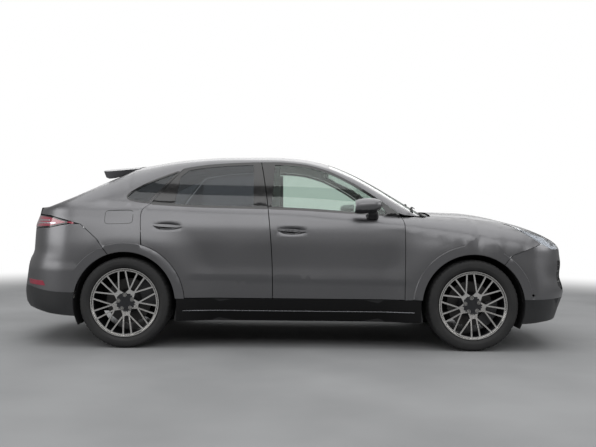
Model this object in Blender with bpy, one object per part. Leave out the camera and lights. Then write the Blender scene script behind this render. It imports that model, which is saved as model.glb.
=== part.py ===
"""Coupe-roofed sport utility vehicle, built panel by panel round one body shape.

+X is forward, +Y is the driver's left and +Z is up. The origin is on the ground,
under the middle of the car. Every panel is cut from the same smooth body: its
outline is drawn in shares of the car's driving sizes, lifted to the body and
given a thickness.
"""
import math

import bmesh
import bpy
from mathutils import Matrix, Vector
from mathutils.geometry import delaunay_2d_cdt

# Driving sizes of the whole car, in metres
LENGTH = 4.931
BODY_WIDTH = 1.983
HEIGHT = 1.662
WHEELBASE = 2.895
FRONT_OVERHANG = 0.970
CABIN_FLOOR_HEIGHT = 0.300
BOOT_FLOOR_HEIGHT = 0.640

# Panels, glass and the gaps between them
SKIN_THICKNESS = 0.009
GLASS_THICKNESS = 0.005
DOOR_THICKNESS = 0.110
FRAME_THICKNESS = 0.034
SHUT_GAP = 0.005
SEAT_GAP = 0.0004
GLASS_INSET = 0.004
FLOOR_THICKNESS = 0.030
PANEL_STEP = 0.125
CUT_OVERRUN = 0.050

# Wheels and tyres
FRONT_TYRE_RADIUS = 0.380
REAR_TYRE_RADIUS = 0.377
FRONT_TYRE_WIDTH = 0.280
REAR_TYRE_WIDTH = 0.305
RIM_RADIUS = 0.284
RIM_LIP = 0.014
FRONT_TRACK = 1.680
REAR_TRACK = 1.655
ARCH_CLEARANCE = 0.046
ARCH_LIP_WIDTH = 0.074
ARCH_LIP_RISE = 0.008
WHEELHOUSE_CLEARANCE = 0.060
LINER_THICKNESS = 0.012
TYRE_SIDES = 32

# Colours as linear red, green and blue
PAINT = (0.085, 0.087, 0.095)
BLACK_TRIM = (0.012, 0.012, 0.013)
DARK_GLASS = (0.020, 0.026, 0.026)
CLEAR_GLASS = (0.080, 0.110, 0.100)
RED_LENS = (0.300, 0.010, 0.012)
CLEAR_LENS = (0.550, 0.570, 0.600)
TYRE_BLACK = (0.016, 0.016, 0.017)
RIM_SILVER = (0.420, 0.420, 0.430)
CAST_GREY = (0.150, 0.150, 0.155)
CABIN_BLACK = (0.025, 0.025, 0.027)

REAR_OVERHANG = LENGTH - WHEELBASE - FRONT_OVERHANG
REAR_AXLE_X = REAR_OVERHANG - LENGTH / 2
FRONT_AXLE_X = REAR_AXLE_X + WHEELBASE
HALF_WIDTH = BODY_WIDTH / 2
FRONT_ARCH_RADIUS = FRONT_TYRE_RADIUS + ARCH_CLEARANCE
REAR_ARCH_RADIUS = REAR_TYRE_RADIUS + ARCH_CLEARANCE


def clear_scene():
    for item in list(bpy.data.objects):
        bpy.data.objects.remove(item, do_unlink=True)


clear_scene()
parts = bpy.data.collections.new("sport_utility_vehicle")
cutters = bpy.data.collections.new("cutters")
bpy.context.scene.collection.children.link(parts)
bpy.context.scene.collection.children.link(cutters)


# Places along the car: a station is -1 at the tail, 0 at the rear axle,
# 1 at the front axle and 2 at the nose.

def station_x(station):
    if station < 0:
        return REAR_AXLE_X + station * REAR_OVERHANG
    if station > 1:
        return FRONT_AXLE_X + (station - 1) * FRONT_OVERHANG
    return REAR_AXLE_X + station * WHEELBASE


def x_station(x):
    if x < REAR_AXLE_X:
        return (x - REAR_AXLE_X) / REAR_OVERHANG
    if x > FRONT_AXLE_X:
        return 1 + (x - FRONT_AXLE_X) / FRONT_OVERHANG
    return (x - REAR_AXLE_X) / WHEELBASE


def table(shares, place):
    """Smooth curve through (place, value) pairs, with no overshoot between them."""
    last = len(shares) - 1
    if place <= shares[0][0]:
        return shares[0][1]
    if place >= shares[last][0]:
        return shares[last][1]
    i = 0
    while place > shares[i + 1][0]:
        i += 1

    def slope(k):
        return (shares[k + 1][1] - shares[k][1]) / (shares[k + 1][0] - shares[k][0])

    def tangent(k):
        if k == 0:
            return slope(0)
        if k == last:
            return slope(last - 1)
        before = slope(k - 1)
        after = slope(k)
        if before * after <= 0:
            return 0.0
        return 2 * before * after / (before + after)

    run = shares[i + 1][0] - shares[i][0]
    t = (place - shares[i][0]) / run
    start = shares[i][1]
    end = shares[i + 1][1]
    ease = t * t * (3 - 2 * t)
    return (start + (end - start) * ease
            + run * (t * (1 - t) ** 2 * tangent(i) - t * t * (1 - t) * tangent(i + 1)))


def ease(value, low, high):
    t = min(1.0, max(0.0, (value - low) / (high - low)))
    return t * t * (3 - 2 * t)


def mix(a, b, t):
    return a + (b - a) * t


# The body shape. Shares of height are of HEIGHT and shares of width are of
# half the body's width.

# Half width of the body's side at each height, between the wheels
side_width_shares = ((0.12, 0.905), (0.185, 0.944), (0.245, 0.956), (0.345, 0.970), (0.42, 0.962),
                     (0.52, 0.966), (0.60, 0.957), (0.655, 0.934), (0.71, 0.886))
# Height of the line under the side glass, and how far out the glass stands there
belt_height_shares = ((-0.4, 0.735), (0.0, 0.728), (0.21, 0.712), (0.45, 0.705), (0.75, 0.679), (0.90, 0.672))
BELT_WIDTH_SHARE = 0.880
# Centre line of windscreen, roof and rear window from above the tail to the scuttle
top_height_shares = ((-0.87, 0.704), (-0.75, 0.720), (-0.55, 0.775), (-0.34, 0.842), (-0.16, 0.893),
                     (0.02, 0.945), (0.14, 0.980), (0.28, 0.997), (0.42, 1.0), (0.50, 0.992),
                     (0.58, 0.966), (0.65, 0.922), (0.73, 0.853), (0.80, 0.782), (0.875, 0.703))
# Line where roof and screens meet the side frame: half width, and drop below the centre line
edge_width_shares = ((-0.87, 0.450), (-0.76, 0.525), (-0.60, 0.600), (-0.34, 0.600), (0.0, 0.560), (0.25, 0.575),
                     (0.50, 0.605), (0.65, 0.660), (0.80, 0.730), (0.90, 0.775))
edge_drop_shares = ((-0.87, 0.004), (-0.60, 0.030), (-0.34, 0.036), (0.0, 0.032), (0.25, 0.030),
                    (0.50, 0.034), (0.65, 0.045), (0.80, 0.056), (0.90, 0.050))
GLASS_LEAN = 0.50
GLASS_BARREL_SHARE = 0.016
# Centre line of the bonnet
bonnet_height_shares = ((0.83, 0.702), (0.95, 0.699), (1.08, 0.692), (1.24, 0.677), (1.40, 0.655),
                        (1.55, 0.628), (1.70, 0.594), (1.84, 0.553), (1.92, 0.515), (1.951, 0.490))
SHOULDER_HEIGHT_SHARE = 0.490
shoulder_shares = ((0.78, 0.604), (0.90, 0.560), (1.05, SHOULDER_HEIGHT_SHARE))
# How far forward the nose and how far back the tail reaches at each height
nose_reach_shares = ((0.12, 0.900), (0.20, 0.945), (0.285, 1.0), (0.32, 0.985), (0.37, 0.955), (0.43, 0.968),
                     (0.49, 0.951))
tail_reach_shares = ((0.15, 0.860), (0.20, 0.985), (0.26, 1.0), (0.34, 0.985), (0.42, 0.965), (0.475, 0.925),
                     (0.60, 0.915), (0.66, 0.885), (0.705, 0.875))
NOSE_ROUND_SHARE = 0.53
TAIL_ROUND_SHARE = 0.62
NOSE_POWER = 2.2
TAIL_POWER = 2.15
SHOULDER_POWER = 3.0
ARCH_SWELL_REACH = 0.30
BELT_ROLL_SHARE = 0.050
BELT_POWER = 2.2
WING_BLEND_STATIONS = (0.70, 0.80)


def nose_reach(z):
    return FRONT_AXLE_X + FRONT_OVERHANG * table(nose_reach_shares, z / HEIGHT)


def tail_reach(z):
    return REAR_AXLE_X - REAR_OVERHANG * table(tail_reach_shares, z / HEIGHT)


def nose_start():
    return FRONT_AXLE_X + FRONT_OVERHANG * (1 - NOSE_ROUND_SHARE)


def tail_start():
    return REAR_AXLE_X - REAR_OVERHANG * (1 - TAIL_ROUND_SHARE)


def plan_factor(x, z):
    """How the body narrows round its four corners, seen from above."""
    if x > nose_start():
        t = min(1.0, (x - nose_start()) / (nose_reach(z) - nose_start()))
        return (1 - t ** NOSE_POWER) ** (1 / NOSE_POWER)
    if x < tail_start():
        t = min(1.0, (tail_start() - x) / (tail_start() - tail_reach(z)))
        return (1 - t ** TAIL_POWER) ** (1 / TAIL_POWER)
    return 1.0


def side_width(x, z):
    """Half width of the side at height z, swelling out round the wheels."""
    width = HALF_WIDTH * table(side_width_shares, z / HEIGHT)
    for axle_x, tyre_radius, arch_radius in ((FRONT_AXLE_X, FRONT_TYRE_RADIUS, FRONT_ARCH_RADIUS),
                                             (REAR_AXLE_X, REAR_TYRE_RADIUS, REAR_ARCH_RADIUS)):
        lip_radius = arch_radius + ARCH_LIP_WIDTH
        reach = math.hypot(x - axle_x, z - tyre_radius)
        swell = 1 - ease(reach, lip_radius, lip_radius + ARCH_SWELL_REACH)
        width = mix(width, HALF_WIDTH - ARCH_LIP_RISE, swell * (1 - ease(z, 0.50 * HEIGHT, 0.66 * HEIGHT)))
        if reach < lip_radius:
            width += ARCH_LIP_RISE
    return width


def bonnet_height(x):
    return HEIGHT * table(bonnet_height_shares, x_station(x))


def shoulder_height(x):
    return HEIGHT * table(shoulder_shares, x_station(x))


def front_skin(x, z):
    """Point of the front wing's side, which rolls over towards the bonnet."""
    shoulder = shoulder_height(x)
    factor = plan_factor(x, min(z, shoulder))
    if z > shoulder:
        rise = min(1.0, (z - shoulder) / (bonnet_height(x) - shoulder))
        factor *= (1 - rise ** SHOULDER_POWER) ** (1 / SHOULDER_POWER)
    return Vector((x, side_width(x, min(z, shoulder)) * factor, z))


def bonnet_skin(x, y):
    """Point of the top of the front, for a place given from above."""
    shoulder = shoulder_height(x)
    width = side_width(x, shoulder) * plan_factor(x, shoulder)
    t = min(1.0, abs(y) / width)
    rise = (1 - t ** SHOULDER_POWER) ** (1 / SHOULDER_POWER)
    return Vector((x, y, mix(shoulder, bonnet_height(x), rise)))


def edge_point(x):
    """Where the roof or a screen meets the side frame."""
    station = x_station(x)
    height = table(top_height_shares, station) - table(edge_drop_shares, station)
    return Vector((x, HALF_WIDTH * table(edge_width_shares, station), HEIGHT * height))


def roof_skin(x, y):
    """Windscreen, roof and rear window, for a place given from above."""
    station = x_station(x)
    share = abs(y) / (HALF_WIDTH * table(edge_width_shares, station))
    drop = table(edge_drop_shares, station) * share ** 2.3
    return Vector((x, y, HEIGHT * (table(top_height_shares, station) - drop)))


def belt_height(x):
    return HEIGHT * table(belt_height_shares, x_station(x))


def glass_y(x, z):
    """Half width of the plane of the side glass, which leans in and bulges a little."""
    belt = belt_height(x)
    top = HEIGHT * 0.949
    rise = z - belt
    share = rise / (top - belt)
    bulge = 4 * share * (1 - share) * GLASS_BARREL_SHARE * HALF_WIDTH
    plan = 1 - 0.045 * ease(x_station(x), 0.45, 0.95) - 0.05 * ease(-x_station(x), -0.25, 0.30)
    width = HALF_WIDTH * BELT_WIDTH_SHARE * plan - GLASS_LEAN * rise + bulge
    return width * plan_factor(x, min(z, belt)) if x < tail_start() else width


def side_skin(x, z):
    """Point of the doors and the rear quarter: body side below the belt, glass plane above."""
    belt = belt_height(x)
    glass = glass_y(x, z)
    if z >= belt:
        return Vector((x, glass, z))
    low = belt - BELT_ROLL_SHARE * HEIGHT
    body = side_width(x, z) * plan_factor(x, z)
    if z > low:
        shoulder_y = side_width(x, low) * plan_factor(x, low)
        body = mix(shoulder_y, glass_y(x, belt), ((z - low) / (belt - low)) ** BELT_POWER)
    forward = ease(x_station(x), *WING_BLEND_STATIONS)
    if forward:
        body = mix(body, front_skin(x, z).y, forward)
    return Vector((x, body, z))


# Making solids

materials = {}


def material(name, colour, roughness, metallic=0.0):
    if name in materials:
        return materials[name]
    made = bpy.data.materials.new(name)
    made.use_nodes = True
    shader = made.node_tree.nodes["Principled BSDF"]
    shader.inputs["Base Color"].default_value = (*colour, 1.0)
    shader.inputs["Roughness"].default_value = roughness
    shader.inputs["Metallic"].default_value = metallic
    made.diffuse_color = (*colour, 1.0)
    materials[name] = made
    return made


def paint():
    return material("grey_metallic_paint", PAINT, 0.30, 0.55)


def black_trim():
    return material("black_plastic_trim", BLACK_TRIM, 0.45)


def solid_object(name, mesh, surface, collection=None):
    item = bpy.data.objects.new(name, mesh)
    (collection or parts).objects.link(item)
    if surface:
        mesh.materials.append(surface)
    return item


def mesh_from(name, points, faces):
    """Closed mesh from points and faces, with its faces turned outwards."""
    mesh = bpy.data.meshes.new(name)
    mesh.from_pydata([tuple(p) for p in points], [], faces)
    form = bmesh.new()
    form.from_mesh(mesh)
    bmesh.ops.recalc_face_normals(form, faces=form.faces)
    form.to_mesh(mesh)
    form.free()
    return mesh


def inside(point, outline):
    """Whether a flat point lies in an outline."""
    hit = False
    count = len(outline)
    for i in range(count):
        ax, ay = outline[i]
        bx, by = outline[(i + 1) % count]
        if (ay > point[1]) != (by > point[1]):
            if point[0] < ax + (point[1] - ay) * (bx - ax) / (by - ay):
                hit = not hit
    return hit


def edge_distance(point, outline):
    """Distance of a flat point from an outline."""
    best = math.inf
    count = len(outline)
    for i in range(count):
        a = Vector(outline[i])
        b = Vector(outline[(i + 1) % count])
        run = b - a
        t = max(0.0, min(1.0, (Vector(point) - a).dot(run) / max(run.length_squared, 1e-12)))
        best = min(best, (Vector(point) - a - run * t).length)
    return best


def divided(outline, step):
    """Outline with points added so that no side is longer than the step."""
    points = []
    count = len(outline)
    for i in range(count):
        a = Vector(outline[i])
        b = Vector(outline[(i + 1) % count])
        pieces = max(1, math.ceil((b - a).length / step - 0.05))
        for k in range(pieces):
            points.append(tuple(a + (b - a) * (k / pieces)))
    return points


def signed_area(outline):
    total = 0.0
    for i in range(len(outline)):
        ax, ay = outline[i - 1]
        bx, by = outline[i]
        total += ax * by - bx * ay
    return total / 2


def inset(outline, amount):
    """Outline with each point moved in by an amount, square to its neighbours."""
    turn = 1.0 if signed_area(outline) > 0 else -1.0
    moved = []
    count = len(outline)
    for i in range(count):
        before = Vector(outline[i - 1])
        here = Vector(outline[i])
        after = Vector(outline[(i + 1) % count])
        one = (here - before).normalized()
        two = (after - here).normalized()
        normal_one = Vector((-one.y, one.x)) * turn
        normal_two = Vector((-two.y, two.x)) * turn
        both = normal_one + normal_two
        scale = 2 / max(both.length_squared, 0.6)
        moved.append(tuple(here + both * (amount * scale)))
    return moved


def open_divided(line, step):
    """Open line with points added so that no stretch is longer than the step."""
    points = []
    for i in range(len(line) - 1):
        a = Vector(line[i])
        b = Vector(line[i + 1])
        pieces = max(1, math.ceil((b - a).length / step - 0.05))
        for k in range(pieces):
            points.append(tuple(a + (b - a) * (k / pieces)))
    points.append(tuple(line[-1]))
    return points


def triangles(outlines, lines, step):
    """Triangles that fill an outline with holes: returns flat points and faces.

    The points of the outlines come first and keep their order. Each of the lines
    becomes a row of edges.
    """
    flat = []
    edges = []
    for outline in outlines:
        start = len(flat)
        flat.extend(outline)
        count = len(outline)
        edges.extend((start + k, start + (k + 1) % count) for k in range(count))
    outer = outlines[0]

    def within(point, room):
        if not inside(point, outer) or edge_distance(point, outer) < room:
            return False
        return not any(inside(point, hole) or edge_distance(point, hole) < room for hole in outlines[1:])

    for line in lines:
        kept = None
        for point in open_divided(line, step):
            if not within(point, step / 25):
                kept = None
                continue
            flat.append(point)
            if kept is not None:
                edges.append((kept, len(flat) - 1))
            kept = len(flat) - 1
    on_lines = [Vector(p) for p in flat[sum(len(outline) for outline in outlines):]]
    low_u = min(p[0] for p in outer)
    high_u = max(p[0] for p in outer)
    low_v = min(p[1] for p in outer)
    high_v = max(p[1] for p in outer)
    columns = max(1, round((high_u - low_u) / step))
    rows = max(1, round((high_v - low_v) / step))
    for i in range(1, columns):
        for k in range(1, rows):
            point = (mix(low_u, high_u, i / columns), mix(low_v, high_v, k / rows))
            if not within(point, 0.42 * step):
                continue
            if any((Vector(point) - other).length < 0.42 * step for other in on_lines):
                continue
            flat.append(point)
    made = delaunay_2d_cdt([Vector(p) for p in flat], edges, [], 0, 1e-7)
    index = {}
    for k, origins in enumerate(made[3]):
        for origin in origins:
            index[k] = origin
    faces = []
    for face in made[2]:
        centre = (sum(made[0][k].x for k in face) / 3, sum(made[0][k].y for k in face) / 3)
        if inside(centre, outer) and not any(inside(centre, hole) for hole in outlines[1:]):
            faces.append([index[k] for k in face])
    return flat, faces


def facing(lift, u, v, reach, outside):
    """Direction square to a lifted surface, turned to the outside."""
    across = lift(u + reach, v) - lift(u - reach, v)
    along = lift(u, v + reach) - lift(u, v - reach)
    square = across.cross(along).normalized()
    return square if square.dot(outside) > 0 else -square


def panel(name, outline, lift, surface, thickness=SKIN_THICKNESS, holes=(), lines=(), step=PANEL_STEP,
          inward=None, side=1, sink=0.0, draft=None, collection=None):
    """Solid panel: an outline lifted to the body, with an inner face and walls round it.

    lift gives the body's point for a flat place. inward is the direction of the
    thickness, a function of the place, or None for square to the skin. side is -1 for a mirrored copy, and
    draft moves the inner face's edge in, as a length or a function of the place.
    """
    outlines = [divided(outline, step)] + [divided(hole, step) for hole in holes]
    flat, faces = triangles(outlines, lines, step)
    reach = step / 50

    def direction(u, v):
        if inward is None:
            return -facing(lift, u, v, reach, lift.outside)
        return inward(u, v) if callable(inward) else inward

    points = []
    inner = []
    drawn_in = inset(outlines[0], 1.0)
    for k, (u, v) in enumerate(flat):
        way = direction(u, v)
        recess = sink(u, v) if callable(sink) else sink
        depth = thickness(u, v) if callable(thickness) else thickness
        points.append(lift(u, v) + way * recess)
        moved = (u, v)
        if draft and k < len(outlines[0]):
            amount = draft(u, v) if callable(draft) else draft
            moved = (mix(u, drawn_in[k][0], amount), mix(v, drawn_in[k][1], amount))
        inner.append(lift(*moved) + way * (recess + depth))
    count = len(flat)
    points += inner
    solid = [tuple(face) for face in faces]
    solid += [tuple(count + k for k in reversed(face)) for face in faces]
    start = 0
    for ring in outlines:
        size = len(ring)
        for k in range(size):
            a = start + k
            b = start + (k + 1) % size
            solid.append((a, b, count + b, count + a))
        start += size
    if side < 0:
        points = [Vector((p.x, -p.y, p.z)) for p in points]
    return solid_object(name, mesh_from(name, points, solid), surface, collection)


def arc(centre, radius, start, end, count):
    """Flat points along a round arc, angles in degrees."""
    points = []
    for k in range(count + 1):
        angle = math.radians(mix(start, end, k / count))
        points.append((centre[0] + radius * math.cos(angle), centre[1] + radius * math.sin(angle)))
    return points


def places(shares):
    """Flat side-view points from (station, height share) pairs."""
    return [(station_x(station), HEIGHT * height) for station, height in shares]


# The body as a map: one flat place gives one point of the skin.

PILLAR_FOOT_STATIONS = (0.79, 0.868)
PILLAR_FOOT_SHARE = 0.810
PILLAR_FOOT_RISE = 0.009
BAND = 0.240
ROLL = 0.300
CORNER_RUN = 1.000


def glass_top(x):
    return HEIGHT * table(frame_height_shares, x_station(x))


def frame_foot(x):
    """Lower edge of the side frame, which comes down to the wing before the screen."""
    low = side_skin(x, glass_top(x))
    forward = ease(x_station(x), *PILLAR_FOOT_STATIONS)
    if forward:
        on_wing_top = bonnet_skin(x, PILLAR_FOOT_SHARE * HALF_WIDTH) + Vector((0, 0, PILLAR_FOOT_RISE))
        low = low.lerp(on_wing_top, forward)
    return low


def side_section(x, w):
    """Body side below the door's top line, then the band that rolls over to the roof's edge."""
    top = glass_top(x)
    if w <= top:
        return side_skin(x, w)
    v = min(1.0, (w - top) / BAND)
    low = frame_foot(x)
    high = edge_point(x)
    corner = Vector((x, mix(high.y, low.y, 0.80), mix(low.z, high.z, 0.86)))
    return low * (1 - v) ** 2 + corner * (2 * v * (1 - v)) + high * v ** 2


def wing_section(x, w):
    """Front wing: its side below the shoulder, then the roll towards the bonnet."""
    shoulder = shoulder_height(x)
    if w <= shoulder:
        return front_skin(x, w)
    angle = min(1.0, (w - shoulder) / ROLL) * math.pi / 2
    out = math.cos(angle) ** (2 / SHOULDER_POWER)
    up = math.sin(angle) ** (2 / SHOULDER_POWER)
    width = side_width(x, shoulder) * plan_factor(x, shoulder)
    return Vector((x, width * out, mix(shoulder, bonnet_height(x), up)))


def wing_place(x, y):
    """Map height of the wing at a half width from above."""
    shoulder = shoulder_height(x)
    width = side_width(x, shoulder) * plan_factor(x, shoulder)
    angle = math.acos(min(1.0, y / width) ** (SHOULDER_POWER / 2))
    return shoulder + ROLL * angle / (math.pi / 2)


def wing_height(x, z):
    """Map height of the wing at a real height."""
    shoulder = shoulder_height(x)
    if z <= shoulder:
        return z
    rise = min(1.0, (z - shoulder) / (bonnet_height(x) - shoulder))
    return shoulder + ROLL * math.asin(rise ** (SHOULDER_POWER / 2)) / (math.pi / 2)


def bonnet_reach(z):
    """How far forward the bonnet's centre line is at a height."""
    low = nose_start()
    high = nose_reach(HEIGHT * SHOULDER_HEIGHT_SHARE)
    for _ in range(40):
        middle = (low + high) / 2
        if bonnet_height(middle) > z:
            low = middle
        else:
            high = middle
    return low


def front_reach(z):
    shoulder = HEIGHT * SHOULDER_HEIGHT_SHARE
    return nose_reach(z) if z <= shoulder else bonnet_reach(z)


def nose_section(a, z):
    """Front end: a runs along the plan curve from the middle, past the corner, to the side."""
    side = 1 if a >= 0 else -1
    a = abs(a)
    if a < CORNER_RUN:
        angle = a / CORNER_RUN * math.pi / 2
        x = nose_start() + (front_reach(z) - nose_start()) * math.cos(angle) ** (2 / NOSE_POWER)
    else:
        x = nose_start() - (a - CORNER_RUN)
    return Vector((x, side * front_skin(x, z).y, z))


def nose_place(x, z):
    if x <= nose_start():
        return CORNER_RUN + nose_start() - x
    t = min(1.0, (x - nose_start()) / (front_reach(z) - nose_start()))
    return CORNER_RUN * math.acos(t ** (NOSE_POWER / 2)) / (math.pi / 2)


def tail_section(a, z):
    """Rear end, mapped as the front end is."""
    side = 1 if a >= 0 else -1
    a = abs(a)
    reach = tail_start() - tail_reach(z)
    if a < CORNER_RUN:
        angle = a / CORNER_RUN * math.pi / 2
        x = tail_start() - reach * math.cos(angle) ** (2 / TAIL_POWER)
        y = side_width(tail_start(), z) * math.sin(angle) ** (2 / TAIL_POWER)
    else:
        x = tail_start() + (a - CORNER_RUN)
        y = side_width(x, z)
    return Vector((x, side * y, z))


def tail_place(x, z):
    if x >= tail_start():
        return CORNER_RUN + x - tail_start()
    t = min(1.0, (tail_start() - x) / (tail_start() - tail_reach(z)))
    return CORNER_RUN * math.acos(t ** (TAIL_POWER / 2)) / (math.pi / 2)


def tail_edge_x(y):
    """Plan of the tail's top edge."""
    z = HEIGHT * TAIL_EDGE_SHARE
    width = side_width(tail_start(), z)
    t = min(1.0, abs(y) / width)
    return tail_start() - (tail_start() - tail_reach(z)) * (1 - t ** TAIL_POWER) ** (1 / TAIL_POWER)


# Flat outlines in shares, read from the side, from above or along the ends

ROOF_FRONT_STATION = 0.588
ROOF_REAR_STATION = 0.012
SCREEN_BASE_STATION = 0.868
BONNET_REAR_STATION = 0.888
BONNET_FRONT_STATION = 1.885
TAIL_EDGE_SHARE = 0.704
frame_height_shares = ((-0.87, 0.676), (-0.60, 0.696), (-0.40, 0.714), (-0.15, 0.737), (-0.03, 0.757),
                       (0.012, 0.802), (0.060, 0.847), (0.118, 0.887), (0.176, 0.917), (0.267, 0.938),
                       (0.359, 0.947), (0.438, 0.949), (0.504, 0.941), (0.573, 0.912), (0.641, 0.858),
                       (0.708, 0.787), (0.773, 0.708), (0.800, 0.681), (0.88, 0.668))
front_cut_shares = ((0.803, 0.255), (0.804, 0.445), (0.803, 0.614), (0.796, 0.668))
DOOR_GAP = 0.007
middle_cut_shares = ((0.3842, 0.947), (0.3928, 0.870), (0.4007, 0.790), (0.4078, 0.705), (0.4136, 0.619),
                     (0.4187, 0.520), (0.4219, 0.428), (0.4235, 0.340), (0.4237, 0.255))
rear_cut_shares = ((0.152, 0.905), (0.135, 0.870), (0.104, 0.807), (0.064, 0.723), (0.048, 0.700),
                   (0.041, 0.666), (0.044, 0.590))
DOOR_FOOT_SHARE = 0.255
SILL_TOP_SHARE = 0.251
REAR_CUT_ANGLE = 74.0
FRONT_BUMPER_ANGLE = 54.0
REAR_BUMPER_ANGLE = 109.0
rear_bumper_cut_shares = ((-0.223, 0.547), (-0.355, 0.618))
front_bumper_cut_shares = ((1.327, 0.482), (1.590, 0.541))
lamp_top_shares = ((1.371, 0.633), (1.45, 0.615), (1.551, 0.594), (1.657, 0.573), (1.76, 0.551), (1.84, 0.531))
lamp_foot_shares = ((1.875, 0.512), (1.79, 0.511), (1.690, 0.516), (1.594, 0.543), (1.48, 0.590))
bonnet_side_shares = ((0.888, 0.760), (1.10, 0.758), (1.30, 0.728), (1.371, 0.713))
bonnet_nose_shares = ((1.866, 0.500), (1.886, 0.350), (1.896, 0.180), (1.899, 0.0))


def frame_line(start, end, rise, step=0.045):
    """Points along the top line of the doors, between two stations."""
    count = max(1, math.ceil(abs(end - start) / step))
    points = []
    for k in range(count + 1):
        x = station_x(mix(start, end, k / count))
        points.append((x, glass_top(x) + rise))
    return points


def arch_arc(front, radius, start, end, step=11.0):
    centre = (FRONT_AXLE_X, FRONT_TYRE_RADIUS) if front else (REAR_AXLE_X, REAR_TYRE_RADIUS)
    return arc(centre, radius, start, end, max(1, round(abs(end - start) / step)))


def foot_angle(front, radius, z):
    """Angle at which an arch's circle comes down to a height, in degrees."""
    drop = z - (FRONT_TYRE_RADIUS if front else REAR_TYRE_RADIUS)
    return math.degrees(math.asin(drop / radius))


front_lip = FRONT_ARCH_RADIUS + ARCH_LIP_WIDTH
rear_lip = REAR_ARCH_RADIUS + ARCH_LIP_WIDTH
door_foot = HEIGHT * DOOR_FOOT_SHARE
sill_top = HEIGHT * SILL_TOP_SHARE
wing_foot = sill_top + 2 * SKIN_THICKNESS / 3


def shifted(points, amount):
    return [(x + amount, z) for x, z in points]


def front_door_outline():
    outline = places(front_cut_shares)
    outline += frame_line(0.787, 0.388, 0.0)
    outline += shifted(places(middle_cut_shares), DOOR_GAP / 2)
    return outline


def rear_door_outline():
    outline = list(reversed(shifted(places(middle_cut_shares), -DOOR_GAP / 2)))
    outline += frame_line(0.383, 0.160, 0.0)
    outline += places(rear_cut_shares)
    foot = foot_angle(False, rear_lip + SHUT_GAP, door_foot)
    outline += arch_arc(False, rear_lip + SHUT_GAP, REAR_CUT_ANGLE, foot)
    return outline


def door_depth(x, z):
    belt = belt_height(x)
    return mix(DOOR_THICKNESS, FRAME_THICKNESS, ease(z, belt - 2 * FRAME_THICKNESS, belt))


FRAME_WIDTH = 0.024
BELT_TRIM = 0.012


def front_glass_outline():
    base = [(station_x(s), belt_height(station_x(s)) + BELT_TRIM) for s in (0.418, 0.52, 0.64, 0.755)]
    top = [(x, z - FRAME_WIDTH) for x, z in frame_line(0.735, 0.425, 0.0)]
    return base + top


def rear_glass_outline():
    base = [(station_x(s), belt_height(station_x(s)) + BELT_TRIM) for s in (0.135, 0.25, 0.365)]
    top = [(x, z - FRAME_WIDTH) for x, z in frame_line(0.362, 0.170, 0.0)]
    return base + top + [(station_x(0.147), HEIGHT * 0.865)]


quarter_glass_shares = ((0.058, 0.733), (0.095, 0.805), (0.124, 0.864), (0.138, 0.889), (0.118, 0.875),
                        (0.062, 0.834), (0.018, 0.792), (-0.008, 0.762), (0.012, 0.745))


def edge_stations(start, end):
    """Stations where the side frame, the roof and both screens share the points of their edges."""
    stations = [-0.76, -0.66, -0.56, -0.46, -0.36, -0.26, -0.17, -0.08]
    stations += [mix(ROOF_REAR_STATION, ROOF_FRONT_STATION, k / 15) for k in range(15)]
    stations += [mix(ROOF_FRONT_STATION, SCREEN_BASE_STATION, k / 8) for k in range(9)]
    return [station for station in stations if start - SEAT_GAP <= station <= end + SEAT_GAP]


def body_side_outline():
    gap = SHUT_GAP
    outline = frame_line(SCREEN_BASE_STATION, 0.156, gap)
    corner = places(rear_cut_shares)[0]
    outline.append((corner[0] - gap, corner[1] + gap / 2))
    outline += shifted(places(rear_cut_shares)[1:], -gap)
    outline += arch_arc(False, rear_lip, REAR_CUT_ANGLE + 1.0, foot_angle(False, rear_lip, sill_top))
    outline += arch_arc(False, REAR_ARCH_RADIUS, foot_angle(False, REAR_ARCH_RADIUS, sill_top),
                        REAR_BUMPER_ANGLE)
    outline += places(rear_bumper_cut_shares)
    outline += places(((-0.50, 0.642), (-0.62, 0.660), (-0.76, 0.668)))
    edge = []
    for station in edge_stations(-0.76, SCREEN_BASE_STATION):
        x = station_x(station)
        edge.append((x, glass_top(x) + BAND))
    return outline + edge


def bonnet_half_width(x):
    """Half width of the bonnet, which runs over the wing and then along the lamp's top."""
    station = x_station(x)
    if station < lamp_top_shares[0][0]:
        return HALF_WIDTH * table(bonnet_side_shares, station)
    return front_skin(x, HEIGHT * table(lamp_top_shares, station)).y


def on_wing(points):
    """Side-view points as places on the wing's map."""
    return [(x, wing_height(x, z)) for x, z in points]


def wing_outline():
    gap = SHUT_GAP
    outline = [(station_x(front_cut_shares[0][0]) + gap, wing_foot)]
    outline += on_wing([(x + gap, z) for x, z in places(front_cut_shares)])
    for station in (0.812, 0.84, SCREEN_BASE_STATION):
        x = station_x(station)
        outline.append((x, wing_place(x, frame_foot(x).y + gap)))
    for station in (BONNET_REAR_STATION, 0.95, 1.03, 1.10, 1.20, 1.30):
        x = station_x(station)
        outline.append((x, wing_place(x, bonnet_half_width(x) + gap / 2)))
    outline += on_wing(places(((1.362, 0.629), (1.474, 0.585), (1.585, 0.5415))))
    outline += on_wing(list(reversed(places(front_bumper_cut_shares)))[1:])
    outline += on_wing(arch_arc(True, FRONT_ARCH_RADIUS, FRONT_BUMPER_ANGLE,
                                180 - foot_angle(True, FRONT_ARCH_RADIUS, wing_foot)))
    return outline


def on_nose(points):
    return [(nose_place(x, z), z) for x, z in points]


def on_tail(points):
    return [(tail_place(x, z), z) for x, z in points]


def both_ways(half):
    """Whole outline from its half, which starts and ends on the middle line."""
    other = [(-a, z) for a, z in reversed(half) if a > SEAT_GAP]
    return half + other


def lamp_outline():
    rear = places(((1.371, 0.632),))
    return on_nose(rear + places(lamp_top_shares)[1:] + places(lamp_foot_shares))


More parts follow.
